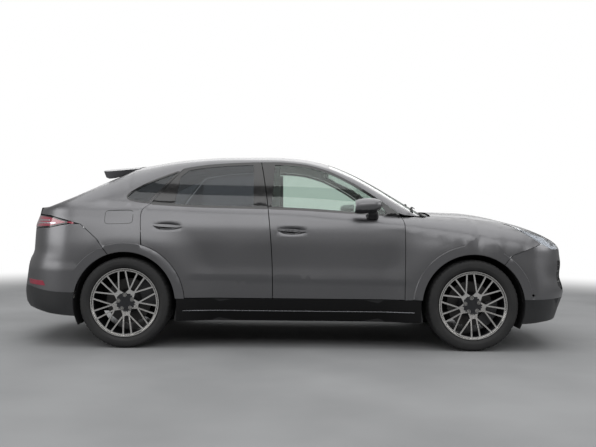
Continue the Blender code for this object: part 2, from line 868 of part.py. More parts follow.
def shape(function, outside):
    """A body map with the side that faces out, for square thicknesses."""
    def lift(u, v):
        return function(u, v)
    lift.outside = Vector(outside)
    return lift


side_map = shape(side_section, (0, 1, 0.4))
wing_map = shape(wing_section, (0, 1, 0.4))
top_map = shape(roof_skin, (0, 0, 1))
bonnet_map = shape(bonnet_skin, (0, 0, 1))
INTO_CABIN = Vector((0, -1, 0))
TOP_DRAFT = 0.012
FRAME_DRAFT_STATION = -0.30
FRAME_THICK = 0.013
ROLL_TILT = 1.050
BONNET_DRAFT = 0.032
DOOR_DRAFT = 0.012


def door_draft(x, z):
    """Slope of a door's edges, so that it swings clear; its foot stays level on the hinge pin."""
    return DOOR_DRAFT if z > door_foot + SHUT_GAP else 0.0


def make_doors():
    for side, hand in ((1, "left"), (-1, "right")):
        for place, outline, hole in (("front", front_door_outline(), front_glass_outline()),
                                     ("rear", rear_door_outline(), rear_glass_outline())):
            panel("door_" + place + "_" + hand, outline, side_map, paint(), door_depth, holes=[hole],
                  inward=INTO_CABIN, side=side, draft=door_draft)
            glass = inset(divided(hole, PANEL_STEP), SEAT_GAP)
            panel("glass_" + place + "_" + hand, glass, side_map,
                  material("tinted_glass", DARK_GLASS, 0.05), GLASS_THICKNESS,
                  inward=INTO_CABIN, side=side, sink=GLASS_INSET)


def frame_draft(x, w):
    """Slope of the side frame's inner edge where it meets the roof, the screen and the tailgate."""
    return TOP_DRAFT if w > glass_top(x) + BAND / 2 or x < station_x(FRAME_DRAFT_STATION) else 0.0


def into_frame(x, w):
    """Direction of the side frame's thickness, which turns down over the roof's edge."""
    top = glass_top(x)
    tilt = ROLL_TILT * ease(w, top, top + BAND)
    return Vector((0, -math.cos(tilt), -math.sin(tilt)))


def make_body_sides():
    for side, hand in ((1, "left"), (-1, "right")):
        hole = places(quarter_glass_shares)
        panel("body_side_" + hand, body_side_outline(), side_map, paint(), FRAME_THICK,
              holes=[hole], side=side, inward=into_frame, draft=frame_draft)
        glass = inset(divided(hole, PANEL_STEP), SEAT_GAP)
        panel("quarter_glass_" + hand, glass, side_map, material("tinted_glass", DARK_GLASS, 0.05),
              GLASS_THICKNESS, inward=INTO_CABIN, side=side, sink=GLASS_INSET)
        panel("wing_" + hand, wing_outline(), wing_map, paint(), SKIN_THICKNESS, side=side,
              inward=Vector((0, -0.85, -0.53)))


def top_outline(rear, front, trim):
    """Outline from above between two stations, out to the side frame's edge."""
    half = []
    for station in edge_stations(rear, front):
        x = station_x(station)
        y = edge_point(x).y - 2 * SEAT_GAP - SHUT_GAP * ease(station, *PILLAR_FOOT_STATIONS)
        half.append((x + trim if station == rear else x, y))
    return half + [(x, -y) for x, y in reversed(half)]


def make_top():
    panel("roof", top_outline(ROOF_REAR_STATION, ROOF_FRONT_STATION, 0.0), top_map, paint(),
          2 * SKIN_THICKNESS, inward=Vector((0, 0, -1)), step=0.16, draft=TOP_DRAFT)
    down = Vector((0, 0, -1))
    panel("windscreen", top_outline(ROOF_FRONT_STATION, SCREEN_BASE_STATION, SEAT_GAP), top_map,
          material("clear_glass", CLEAR_GLASS, 0.05), 2 * GLASS_THICKNESS, inward=down, draft=TOP_DRAFT)


def make_bonnet():
    half = []
    for station in (BONNET_REAR_STATION, 0.95, 1.03, 1.10, 1.20, 1.30, 1.371, 1.45, 1.551, 1.657, 1.76, 1.84):
        x = station_x(station)
        half.append((x, bonnet_half_width(x) - SHUT_GAP / 2))
    half += [(station_x(station), HALF_WIDTH * share) for station, share in bonnet_nose_shares]
    outline = half + [(x, -y) for x, y in reversed(half[:-1])]
    panel("bonnet", outline, bonnet_map, paint(), 2 * SKIN_THICKNESS, inward=Vector((0, 0, -1)), step=0.15,
          draft=BONNET_DRAFT)


make_doors()
make_body_sides()
make_top()
make_bonnet()


# Front end

BUMPER_FOOT_SHARE = 0.262
INTAKE_FOOT_SHARE = 0.298
INTAKE_TOP_SHARE = 0.452
INTAKE_END_STATION = 1.800
APRON_FOOT_SHARE = 0.150
GRILLE_RECESS = 0.028
GRILLE_STEP = 0.001
NOSE_CREST_SHARE = 0.285
TAIL_CREST_SHARE = 0.260
NOSE_CREST_HALF = 0.110
STRUT_WIDTH = 0.045
STRUT_PLACE = 0.370
END_CENTRE_X = 1.650
END_CENTRE_HEIGHT = 0.500
nose_map = shape(nose_section, (1, 0.6, 0.1))
tail_map = shape(tail_section, (-1, 0.6, 0.1))


def into_nose(a, z):
    """Direction from the nose's skin towards a point between the wheels."""
    return (Vector((END_CENTRE_X, 0, END_CENTRE_HEIGHT)) - nose_section(a, z)).normalized()


def into_tail(a, z):
    return (Vector((-END_CENTRE_X, 0, END_CENTRE_HEIGHT)) - tail_section(a, z)).normalized()


def bonnet_edge(gap):
    """Front edge of the bonnet from its side to the middle, as places from above."""
    return [(station_x(station) + gap, HALF_WIDTH * share) for station, share in bonnet_nose_shares]


def front_bumper_outline():
    gap = SHUT_GAP
    half = [(0.0, HEIGHT * BUMPER_FOOT_SHARE)]
    foot = math.degrees(math.asin((HEIGHT * BUMPER_FOOT_SHARE - FRONT_TYRE_RADIUS) / FRONT_ARCH_RADIUS))
    arch = arch_arc(True, FRONT_ARCH_RADIUS, foot, FRONT_BUMPER_ANGLE - 0.6)
    half.append((nose_place(station_x(1.75), HEIGHT * BUMPER_FOOT_SHARE), HEIGHT * BUMPER_FOOT_SHARE))
    half += on_nose(arch)
    half += on_nose([(x + gap, z - gap / 2) for x, z in places(front_bumper_cut_shares)])
    half += on_nose([(x, z - gap / 2) for x, z in reversed(places(lamp_foot_shares[:3]))])
    for x, y in bonnet_edge(gap):
        z = bonnet_skin(x, y).z
        half.append((nose_place(x, z) if y else 0.0, z))
    return both_ways(half)


def intake_outlines():
    """Middle intake and the two at its sides, parted by painted struts."""
    low = HEIGHT * INTAKE_FOOT_SHARE
    high = HEIGHT * INTAKE_TOP_SHARE
    end = nose_place(station_x(INTAKE_END_STATION), low)
    strut = STRUT_PLACE + STRUT_WIDTH
    middle = both_ways([(0.0, low), (STRUT_PLACE - STRUT_WIDTH, low), (STRUT_PLACE, high), (0.0, high)])
    out = [(strut, low), (end - 2 * STRUT_WIDTH, low), (end, low + STRUT_WIDTH), (end, high), (strut + STRUT_WIDTH, high)]
    return [middle, out, [(-a, z) for a, z in reversed(out)]]


def make_nose():
    crest = [[(-NOSE_CREST_HALF, HEIGHT * NOSE_CREST_SHARE), (0.0, HEIGHT * NOSE_CREST_SHARE),
              (NOSE_CREST_HALF, HEIGHT * NOSE_CREST_SHARE)]]
    panel("front_bumper", front_bumper_outline(), nose_map, paint(), SKIN_THICKNESS,
          holes=intake_outlines(), step=0.11, lines=crest, inward=into_nose)
    edge = HEIGHT * BUMPER_FOOT_SHARE - 2 * SEAT_GAP
    end = nose_place(station_x(INTAKE_END_STATION), edge) + STRUT_WIDTH
    top = HEIGHT * INTAKE_TOP_SHARE + STRUT_WIDTH
    foot = HEIGHT * APRON_FOOT_SHARE
    angle = math.degrees(math.asin((edge - FRONT_TYRE_RADIUS) / FRONT_ARCH_RADIUS))
    low_angle = math.degrees(math.asin((HEIGHT * 0.141 - FRONT_TYRE_RADIUS) / FRONT_ARCH_RADIUS))
    half = [(0.0, foot)]
    half.append((nose_place(station_x(1.60), foot), foot))
    half += on_nose(arch_arc(True, FRONT_ARCH_RADIUS, low_angle, angle))
    half += [(end, edge), (end, top), (0.0, top)]

    def recess(a, z):
        return GRILLE_RECESS if z > edge - GRILLE_STEP / 2 and abs(a) < end + GRILLE_STEP else 0.0

    steps = [[(SHUT_GAP - end, edge - drop), (end - SHUT_GAP, edge - drop)] for drop in (0.0, GRILLE_STEP)]
    panel("grille", both_ways(half), nose_map, black_trim(), SKIN_THICKNESS, step=0.12, sink=recess, lines=steps,
          inward=into_nose)
    for side, hand in ((1, "left"), (-1, "right")):
        lamp = inset(divided(lamp_outline(), PANEL_STEP), SEAT_GAP)
        panel("headlamp_" + hand, lamp, nose_map, material("clear_lens", CLEAR_LENS, 0.1),
              LAMP_DEPTH, side=side, sink=GLASS_INSET / 4, draft=LAMP_DRAFT, inward=into_nose)


# Rear end

LAMP_DEPTH = 0.012
LAMP_DRAFT = 0.007
GATE_DRAFT = 0.030
GATE_RUN = 1.040
GATE_FRONT_STATION = 0.0118
GATE_FOOT_SHARE = 0.468
GATE_HALF_WIDTH = 0.500
GATE_FOOT_HALF_WIDTH = 0.455
TAIL_LAMP_FOOT_SHARE = 0.593
CLADDING_ANGLE = 168.5
cladding_shares = ((-0.415, 0.276), (-0.578, 0.279), (-0.80, 0.296))
valance_foot_shares = ((-0.46, 0.162), (-0.60, 0.168), (-0.78, 0.185))
lamp_line_shares = ((-0.400, 0.6255), (-0.50, 0.642), (-0.62, 0.660), (-0.76, 0.668))


def gate_section(s, y):
    """Tailgate: down the rear window from the roof to the tail's edge, then down its face."""
    front = station_x(ROOF_REAR_STATION)
    edge = tail_edge_x(y)
    if s <= GATE_RUN:
        x = mix(front, edge, s / GATE_RUN)
        return roof_skin(x, y)
    z = roof_skin(edge, y).z - (s - GATE_RUN)
    width = side_width(tail_start(), z)
    t = min(1.0, abs(y) / width)
    x = tail_start() - (tail_start() - tail_reach(z)) * (1 - t ** TAIL_POWER) ** (1 / TAIL_POWER)
    return Vector((x, y, z))


def gate_place(x, y):
    front = station_x(ROOF_REAR_STATION)
    return GATE_RUN * (front - x) / (front - tail_edge_x(y))


def gate_outline():
    half = []
    gap = SHUT_GAP
    for station in [GATE_FRONT_STATION] + list(reversed(edge_stations(-0.76, -0.08))):
        x = station_x(station)
        y = edge_point(x).y - gap
        half.append((gate_place(x, y), y))
    edge_z = roof_skin(tail_edge_x(GATE_HALF_WIDTH), GATE_HALF_WIDTH).z
    half.append((GATE_RUN, GATE_HALF_WIDTH))
    half.append((GATE_RUN + edge_z - HEIGHT * TAIL_LAMP_FOOT_SHARE, GATE_HALF_WIDTH))
    half.append((GATE_RUN + edge_z - HEIGHT * GATE_FOOT_SHARE, GATE_FOOT_HALF_WIDTH))
    return half + [(s, -y) for s, y in reversed(half)]


def gate_glass_outline():
    half = []
    for station in (-0.082, -0.17, -0.26, -0.36, -0.46, -0.56):
        x = station_x(station)
        y = edge_point(x).y - GATE_RIM
        half.append((gate_place(x, y), y))
    return half + [(s, -y) for s, y in reversed(half)]


GATE_RIM = 0.055
GATE_THICKNESS = 0.034
gate_map = shape(gate_section, (-0.6, 0, 1))


def make_tail():
    down = Vector((0.55, 0, -0.83))
    hole = gate_glass_outline()
    edge = [(GATE_RUN, GATE_HALF_WIDTH - SHUT_GAP), (GATE_RUN, SHUT_GAP - GATE_HALF_WIDTH)]
    panel("liftgate", gate_outline(), gate_map, paint(), GATE_THICKNESS, holes=[hole], lines=[edge],
          inward=down, step=0.14, draft=GATE_DRAFT)
    glass = inset(divided(hole, 0.14), SEAT_GAP)
    panel("rear_glass", glass, gate_map, material("tinted_glass", DARK_GLASS, 0.05), GLASS_THICKNESS,
          inward=down, sink=GLASS_INSET, step=0.14)
    gap = SHUT_GAP
    lamp_foot = HEIGHT * TAIL_LAMP_FOOT_SHARE
    half = [(0.0, HEIGHT * GATE_FOOT_SHARE - gap)]
    corner = gate_foot_place(GATE_FOOT_HALF_WIDTH + gap, HEIGHT * GATE_FOOT_SHARE - gap)
    half.append((corner, HEIGHT * GATE_FOOT_SHARE - gap))
    half.append((gate_foot_place(GATE_HALF_WIDTH + gap, lamp_foot - gap), lamp_foot - gap))
    half += on_tail([(x, z - gap) for x, z in places(((-0.62, 0.600), (-0.45, 0.620)))])
    half += on_tail([(x - gap, z - gap / 2) for x, z in reversed(places(rear_bumper_cut_shares))])
    half += on_tail(arch_arc(False, REAR_ARCH_RADIUS, REAR_BUMPER_ANGLE + 0.8, CLADDING_ANGLE))
    half += on_tail(places(cladding_shares))
    half.append((0.0, HEIGHT * cladding_shares[2][1]))
    panel("rear_bumper", both_ways(half), tail_map, paint(), SKIN_THICKNESS, step=0.12, inward=into_tail)
    half = [(0.0, HEIGHT * cladding_shares[2][1] - SEAT_GAP)]
    half += on_tail([(x, z - SEAT_GAP) for x, z in reversed(places(cladding_shares))])
    low_angle = 180 + math.degrees(math.asin((REAR_TYRE_RADIUS - HEIGHT * 0.160) / REAR_ARCH_RADIUS))
    half += on_tail(arch_arc(False, REAR_ARCH_RADIUS, CLADDING_ANGLE + 0.6, low_angle))
    half += on_tail(places(valance_foot_shares))
    half.append((0.0, HEIGHT * valance_foot_shares[2][1]))
    crest = [[(-NOSE_CREST_HALF, HEIGHT * TAIL_CREST_SHARE), (0.0, HEIGHT * TAIL_CREST_SHARE),
              (NOSE_CREST_HALF, HEIGHT * TAIL_CREST_SHARE)]]
    panel("rear_valance", both_ways(half), tail_map, black_trim(), SKIN_THICKNESS, step=0.13, lines=crest,
          inward=into_tail)
    for side, hand in ((1, "left"), (-1, "right")):
        top = on_tail([(x, z - 2 * gap) for x, z in places(lamp_line_shares)])
        high = HEIGHT * lamp_line_shares[3][1] - 2 * gap
        outline = top + [(gate_foot_place(GATE_HALF_WIDTH + gap, high), high)]
        outline += [(gate_foot_place(GATE_HALF_WIDTH + gap, lamp_foot), lamp_foot)]
        outline += on_tail(places(((-0.62, 0.600), (-0.45, 0.622))))
        panel("tail_lamp_" + hand, outline, tail_map, material("red_lens", RED_LENS, 0.1), LAMP_DEPTH,
              side=side, draft=LAMP_DRAFT, inward=into_tail)


def gate_foot_place(y, z):
    """Tail map place of a half width at a height."""
    width = side_width(tail_start(), z)
    return CORNER_RUN * math.asin(min(1.0, y / width) ** (TAIL_POWER / 2)) / (math.pi / 2)


make_nose()
make_tail()


# Solid helpers for the structure under the panels

def box(name, low, high, surface=None, collection=None):
    """Box between two corners, from a primitive cube."""
    mesh = bpy.data.meshes.new(name)
    form = bmesh.new()
    bmesh.ops.create_cube(form, size=1.0)
    size = Vector(high) - Vector(low)
    middle = (Vector(high) + Vector(low)) / 2
    for vertex in form.verts:
        vertex.co = Vector((vertex.co.x * size.x, vertex.co.y * size.y, vertex.co.z * size.z)) + middle
    form.to_mesh(mesh)
    form.free()
    return solid_object(name, mesh, surface, collection)


def drum(name, middle, radius, length, axis, surface=None, sides=24, collection=None):
    """Round bar centred on a point, along X, Y or Z."""
    mesh = bpy.data.meshes.new(name)
    form = bmesh.new()
    bmesh.ops.create_cone(form, cap_ends=True, segments=sides, radius1=radius, radius2=radius, depth=length)
    turn = {"X": Matrix.Rotation(math.pi / 2, 4, "Y"), "Y": Matrix.Rotation(math.pi / 2, 4, "X"),
            "Z": Matrix.Identity(4)}[axis]
    bmesh.ops.transform(form, matrix=Matrix.Translation(middle) @ turn, verts=form.verts)
    form.to_mesh(mesh)
    form.free()
    return solid_object(name, mesh, surface, collection)


def prism(name, outline, y_low, y_high, surface=None, collection=None):
    """Side-view outline extruded across the car, from a flat curve."""
    curve = bpy.data.curves.new(name, "CURVE")
    curve.dimensions = "2D"
    curve.fill_mode = "BOTH"
    curve.extrude = (y_high - y_low) / 2
    spline = curve.splines.new("POLY")
    spline.points.add(len(outline) - 1)
    for point, (x, z) in zip(spline.points, outline):
        point.co = (x, z, 0, 1)
    spline.use_cyclic_u = True
    flat = bpy.data.objects.new(name, curve)
    bpy.context.scene.collection.objects.link(flat)
    bpy.context.view_layer.update()
    mesh = bpy.data.meshes.new_from_object(flat.evaluated_get(bpy.context.evaluated_depsgraph_get()))
    bpy.data.objects.remove(flat, do_unlink=True)
    form = bmesh.new()
    form.from_mesh(mesh)
    bmesh.ops.remove_doubles(form, verts=form.verts, dist=SEAT_GAP / 10)
    upright = Matrix.Translation((0, (y_low + y_high) / 2, 0)) @ Matrix.Rotation(math.pi / 2, 4, "X")
    bmesh.ops.transform(form, matrix=upright, verts=form.verts)
    bmesh.ops.recalc_face_normals(form, faces=form.faces)
    form.to_mesh(mesh)
    form.free()
    mesh.materials.clear()
    return solid_object(name, mesh, surface, collection)


def combine(base, other, operation):
    """Boolean of one solid with another, which becomes a cutter."""
    step = base.modifiers.new(operation.lower(), "BOOLEAN")
    step.operation = operation
    step.solver = "EXACT"
    step.object = other
    other.hide_render = True
    other.display_type = "WIRE"
    for home in list(other.users_collection):
        home.objects.unlink(other)
    cutters.objects.link(other)
    return base


def add(base, other):
    return combine(base, other, "UNION")


def cut(base, other):
    return combine(base, other, "DIFFERENCE")


def applied(item):
    """Mesh of a solid with its modifiers applied."""
    bpy.context.view_layer.update()
    return bpy.data.meshes.new_from_object(item.evaluated_get(bpy.context.evaluated_depsgraph_get()))


def freeze(item):
    """The same solid with its modifiers applied and its cutters gone."""
    mesh = applied(item)
    tools = [step.object for step in item.modifiers]
    item.modifiers.clear()
    item.data = mesh
    for tool in tools:
        if tool:
            bpy.data.objects.remove(tool, do_unlink=True)
    return item


def ribbon(line, thickness):
    """Closed outline of a line with a thickness below it."""
    lower = []
    for i, here in enumerate(line):
        before = Vector(line[max(0, i - 1)])
        after = Vector(line[min(len(line) - 1, i + 1)])
        run = (after - before).normalized()
        lower.append((here[0] - run.y * thickness, here[1] + run.x * thickness))
    return list(line) + list(reversed(lower))


# The tub: floor, bulkheads, sills, door posts, wheel arches and front rails

FLOOR_HALF_WIDTH = 0.760
BOOT_HALF_WIDTH = 0.640
SILL_INNER_WIDTH = 0.745
POST_DEPTH = 0.060
POST_CLEARANCE = 0.040
FRONT_HOUSE_WIDTH = 0.460
REAR_HOUSE_WIDTH = 0.650
HOUSE_EDGE_WIDTH = 0.900
RAIL_WIDTH = 0.400
RAIL_HEIGHT = 0.130
HINGE_HALF_HEIGHT = 0.035
SILL_FOOT_SHARE = 0.140
floor_shares = ((0.872, 0.600), (0.862, 0.330), (0.795, 0.190), (0.300, 0.190), (0.270, 0.265),
                (0.110, 0.275), (0.040, 0.390), (-0.68, 0.390), (-0.74, 0.450))
hinge_height_shares = (0.330, 0.570)


def wheel_room(front, name, radius, y_low, y_high):
    """Solid of the room round a wheel, as deep as the arch."""
    axle_x = FRONT_AXLE_X if front else REAR_AXLE_X
    tyre = FRONT_TYRE_RADIUS if front else REAR_TYRE_RADIUS
    outline = arc((axle_x, tyre), radius, -14, 194, 20)
    return prism(name, outline, y_low, y_high)


def wheel_houses(tub):
    """Cuts the tub round each wheel and puts a liner in the cut."""
    for front in (True, False):
        radius = (FRONT_ARCH_RADIUS if front else REAR_ARCH_RADIUS) + SHUT_GAP
        inner = FRONT_HOUSE_WIDTH if front else REAR_HOUSE_WIDTH
        for side in (1, -1):
            def span(low, high):
                return (low, high) if side > 0 else (-high, -low)
            cut(tub, wheel_room(front, "house", radius + LINER_THICKNESS / 2, *span(inner, HALF_WIDTH + CUT_OVERRUN)))
            liner = wheel_room(front, "liner", radius + LINER_THICKNESS, *span(inner - LINER_THICKNESS, HOUSE_EDGE_WIDTH))
            cut(liner, wheel_room(front, "room", radius, *span(inner, HOUSE_EDGE_WIDTH + CUT_OVERRUN)))
            open_foot = box("foot", (-LENGTH, *span(inner, HALF_WIDTH)[:1], -HEIGHT),
                            (LENGTH, span(inner, HALF_WIDTH)[1], FRONT_TYRE_RADIUS * 0.74))
            cut(liner, open_foot)
            add(tub, liner)


def side_block(name, x_low, x_high, z_low, z_high, sink, depth, side):
    """Block behind the body's side, for posts and hinge pads."""
    outline = [(x_low, z_low), (x_high, z_low), (x_high, z_high), (x_low, z_high)]
    return panel(name, outline, side_map, None, depth, inward=INTO_CABIN, side=side, sink=sink)


def sill_depth(x, z):
    """Depth of the sill that leaves its inner wall upright, so that nothing overhangs the floor."""
    return side_skin(x, z).y - SILL_INNER_WIDTH


def make_tub():
    outline = ribbon(places(floor_shares), FLOOR_THICKNESS)
    tub = prism("floor_pan", outline, -FLOOR_HALF_WIDTH, FLOOR_HALF_WIDTH, black_trim())
    rear = station_x(0.02)
    for side in (1, -1):
        low, high = sorted((side * BOOT_HALF_WIDTH, side * (FLOOR_HALF_WIDTH + CUT_OVERRUN)))
        cut(tub, box("boot_side", (-LENGTH, low, 0.0), (rear, high, HEIGHT)))
        rear_end = REAR_AXLE_X + REAR_ARCH_RADIUS
        front_end = FRONT_AXLE_X - FRONT_ARCH_RADIUS
        foot = HEIGHT * SILL_FOOT_SHARE
        sill = [(rear_end - SHUT_GAP, foot), (front_end + SHUT_GAP, foot), (front_end + SHUT_GAP, sill_top - SEAT_GAP),
                (rear_end - SHUT_GAP, sill_top - SEAT_GAP)]
        add(tub, panel("sill", sill, side_map, None, sill_depth, inward=INTO_CABIN, side=side, step=0.3))
        b_low = station_x(0.370)
        b_high = station_x(0.440)
        add(tub, side_block("b_post", b_low, b_high, foot + FLOOR_THICKNESS, HEIGHT * 0.925,
                            lambda x, z: door_depth(x, z) + POST_CLEARANCE, POST_DEPTH, side))
        a_low = station_x(0.809)
        a_high = station_x(0.862)
        add(tub, side_block("a_post", a_low, a_high, foot + FLOOR_THICKNESS, HEIGHT * 0.60,
                            DOOR_THICKNESS + POST_CLEARANCE, 2 * POST_DEPTH, side))
        low, high = sorted((side * RAIL_WIDTH, side * FRONT_HOUSE_WIDTH))
        add(tub, box("rail", (station_x(0.86), low, HEIGHT * 0.30),
                     (station_x(1.78), high, HEIGHT * 0.30 + RAIL_HEIGHT)))
    add(tub, box("cross_member", (station_x(1.74), -FRONT_HOUSE_WIDTH, HEIGHT * 0.30),
                 (station_x(1.80), FRONT_HOUSE_WIDTH, HEIGHT * 0.30 + RAIL_HEIGHT)))
    wheel_houses(tub)
    return tub


make_tub()


# Scuttle, spoiler and mirrors

SCUTTLE_SINK = 0.012
MIRROR_WIDTH = 1.096
MIRROR_FOOT_WIDTH = 0.9245
SPOILER_HALF_WIDTH = 0.520
SPOILER_TIP_HALF_WIDTH = 0.470
SPOILER_FRONT = -1.385
SPOILER_TIP = -1.612
SPOILER_SLOPE = 0.150
SPOILER_DEPTH = 0.028
SPOILER_RISE = 0.004
mirror_shell = ((0.482, 1.236), (0.505, 1.142), (0.600, 1.126), (0.700, 1.142), (0.722, 1.190),
                (0.690, 1.245), (0.590, 1.268), (0.515, 1.268))
mirror_foot = ((0.610, 1.075), (0.700, 1.090), (0.690, 1.138), (0.600, 1.130))


def make_scuttle():
    half = []
    rear = SCREEN_BASE_STATION - 0.0006
    front = BONNET_REAR_STATION - SHUT_GAP / WHEELBASE
    for station in (SCREEN_BASE_STATION + SEAT_GAP / WHEELBASE, front):
        x = station_x(station)
        half.append((x, min(edge_point(x).y, bonnet_half_width(x)) - SHUT_GAP))
    outline = half + [(x, -y) for x, y in reversed(half)]
    panel("scuttle", outline, bonnet_map, black_trim(), 2 * SKIN_THICKNESS, inward=Vector((0, 0, -1)), step=0.2,
          sink=lambda x, y: SCUTTLE_SINK if x > half[0][0] + SHUT_GAP else 0.0)


def spoiler_skin(x, y):
    """Spoiler's top, which goes on behind the roof at a gentle slope."""
    start = roof_skin(SPOILER_FRONT, y)
    return Vector((x, y, start.z + SPOILER_RISE + SPOILER_SLOPE * (x - SPOILER_FRONT)))


def make_spoiler():
    """Spoiler at the top of the tailgate, in one body with it."""
    outline = [(SPOILER_FRONT, SPOILER_HALF_WIDTH), (SPOILER_TIP, SPOILER_TIP_HALF_WIDTH),
               (SPOILER_TIP, -SPOILER_TIP_HALF_WIDTH), (SPOILER_FRONT, -SPOILER_HALF_WIDTH)]
    blade = panel("spoiler", outline, shape(spoiler_skin, (0, 0, 1)), None, SPOILER_DEPTH,
                  inward=Vector((0, 0, -1)), step=0.2)
    return add(bpy.data.objects["liftgate"], blade)


def make_mirror(side, hand):
    shell = prism("mirror_" + hand, list(mirror_shell), *sorted((side * (MIRROR_WIDTH - 0.165), side * MIRROR_WIDTH)),
                  paint())
    foot = prism("mirror_foot", list(mirror_foot), *sorted((side * MIRROR_FOOT_WIDTH, side * (MIRROR_WIDTH - 0.060))))
    return add(shell, foot)


# Wheels

RIM_WIDTH_IN_TYRE = 0.024
PLATE_DEPTH = 0.026
PLATE_INSET = 0.016
RING_RADIUS = 0.2685
ARM_ANGLE = 48.5
APEX_ANGLE = 12.0
APEX_RADIUS = 0.112
INNER_TIP_ANGLE = 7.5
OUTER_TIP_ANGLE = 30.0
LOOP_RADIUS = 0.074
SPOKE_HALF_WIDTH = 0.0075
DISC_RADIUS = 0.190
DISC_INNER = -0.048
DISC_OUTER = -0.020
HUB_RADIUS = 0.075
ROTOR_GAP = 0.005
tyre_section = ((-0.0186, 0.2704), (-0.0122, 0.2844), (0.004, 0.300), (0.0120, 0.338))
tread_section = ((0.0060, -0.014), (-0.0140, -0.0035), (-0.0480, 0.0))


def polar(radius, angle):
    return (radius * math.cos(math.radians(angle)), radius * math.sin(math.radians(angle)))


def turned(name, section, sides, surface=None, collection=None):
    """Closed ring turned about the Y axis from (y, radius) points, first vertex at the foot."""
    mesh = bpy.data.meshes.new(name)
    form = bmesh.new()
    rings = []
    for k in range(sides):
        angle = 2 * math.pi * k / sides - math.pi / 2
        rings.append([form.verts.new((r * math.cos(angle), y, r * math.sin(angle))) for y, r in section])
    for k in range(sides):
        here, there = rings[k], rings[(k + 1) % sides]
        for j in range(len(section)):
            i = (j + 1) % len(section)
            form.faces.new((here[j], here[i], there[i], there[j]))
    bmesh.ops.recalc_face_normals(form, faces=form.faces)
    form.to_mesh(mesh)
    form.free()
    return solid_object(name, mesh, surface, collection)


def wheel_windows():
    """Windows between the thin spokes of the wheel face, as outlines in its plane."""
    windows = []
    for k in range(5):
        arm = ARM_ANGLE + 72 * k
        near, far = arm - APEX_ANGLE, arm + APEX_ANGLE
        rim = RING_RADIUS
        windows.append([polar(APEX_RADIUS, near), polar(rim, arm - INNER_TIP_ANGLE), polar(rim, arm),
                        polar(rim, arm + INNER_TIP_ANGLE), polar(APEX_RADIUS, far)])
        for hand in (1, -1):
            apex = polar(APEX_RADIUS, arm + hand * APEX_ANGLE)
            corners = [apex, polar(rim, arm + hand * INNER_TIP_ANGLE),
                       polar(rim, arm + hand * (INNER_TIP_ANGLE + OUTER_TIP_ANGLE) / 2),
                       polar(rim, arm + hand * OUTER_TIP_ANGLE)]
            windows.append(corners)
        windows.append([polar(LOOP_RADIUS, arm + 30), polar(APEX_RADIUS, far), polar(rim, arm + OUTER_TIP_ANGLE),
                        polar(rim, arm + 72 - OUTER_TIP_ANGLE), polar(APEX_RADIUS, near + 72),
                        polar(LOOP_RADIUS, arm + 42)])
    return [inset(window if signed_area(window) > 0 else list(reversed(window)), SPOKE_HALF_WIDTH)
            for window in windows]


def wheel_plate(y_low, y_high):
    """Face plate of the wheel with its windows."""
    edge = [polar(RIM_RADIUS - RIM_LIP - SKIN_THICKNESS / 3, 360 * k / TYRE_SIDES - 90) for k in range(TYRE_SIDES)]

    def face(u, v):
        return Vector((u, y_high, v))

    return panel("plate", edge, face, None, y_high - y_low, holes=wheel_windows(), inward=Vector((0, -1, 0)),
                 step=RIM_RADIUS, collection=cutters)


def moved(item, name, matrix, surface, pivot):
    """Copy of a solid turned and moved into the car, with its origin on a pivot."""
    mesh = item.data.copy()
    mesh.transform(Matrix.Translation(-Vector(pivot)) @ matrix)
    copy = solid_object(name, mesh, surface)
    copy.location = pivot
    return copy


def wheel_pair(front):
    """Rim with hub and brake disc, and tyre, for one axle, placed at both sides."""
    tyre_radius = FRONT_TYRE_RADIUS if front else REAR_TYRE_RADIUS
    half_width = (FRONT_TYRE_WIDTH if front else REAR_TYRE_WIDTH) / 2
    w = half_width - tyre_section[3][0]
    lip = RIM_RADIUS
    bed = RIM_RADIUS - RIM_LIP
    wall = bed - SKIN_THICKNESS
    section = [(w, lip), (w - SHUT_GAP * 2.4, lip), (w - SHUT_GAP * 3.6, bed), (SHUT_GAP * 3.6 - w, bed),
               (SHUT_GAP * 2.4 - w, lip), (-w, lip), (-w, wall), (w - SHUT_GAP, wall)]
    rim = turned("rim", section, TYRE_SIDES, None, cutters)
    add(rim, wheel_plate(w - PLATE_INSET - PLATE_DEPTH, w - PLATE_INSET))
    add(rim, drum("hub", (0, (DISC_INNER + w - PLATE_INSET - SHUT_GAP) / 2 , 0), HUB_RADIUS - SHUT_GAP,
                  w - PLATE_INSET - SHUT_GAP - DISC_INNER, "Y", sides=24))
    add(rim, drum("disc", (0, (DISC_INNER + DISC_OUTER) / 2, 0), DISC_RADIUS, DISC_OUTER - DISC_INNER - SEAT_GAP, "Y"))
    freeze(rim)
    outer = [(w + y, r) for y, r in tyre_section]
    tread = [(half_width + y - tyre_section[3][0], tyre_radius + r) for y, r in tread_section]
    half = outer + tread
    tyre = turned("tyre", half + [(-y, r) for y, r in reversed(half)], TYRE_SIDES, None, cutters)
    place_x = FRONT_AXLE_X if front else REAR_AXLE_X
    track = FRONT_TRACK if front else REAR_TRACK
    end = "front" if front else "rear"
    for side, hand in ((1, "left"), (-1, "right")):
        pivot = Vector((place_x, side * track / 2, tyre_radius))
        turn = Matrix.Identity(4) if side > 0 else Matrix.Rotation(math.pi, 4, "Z")
        place = Matrix.Translation(pivot) @ turn
        moved(rim, "rim_" + end + "_" + hand, place, material("machined_alloy", RIM_SILVER, 0.3, 1.0), pivot)
        moved(tyre, "tyre_" + end + "_" + hand, place, material("tyre_rubber", TYRE_BLACK, 0.85), pivot)
    bpy.data.objects.remove(rim, do_unlink=True)
    bpy.data.objects.remove(tyre, do_unlink=True)


# Running gear

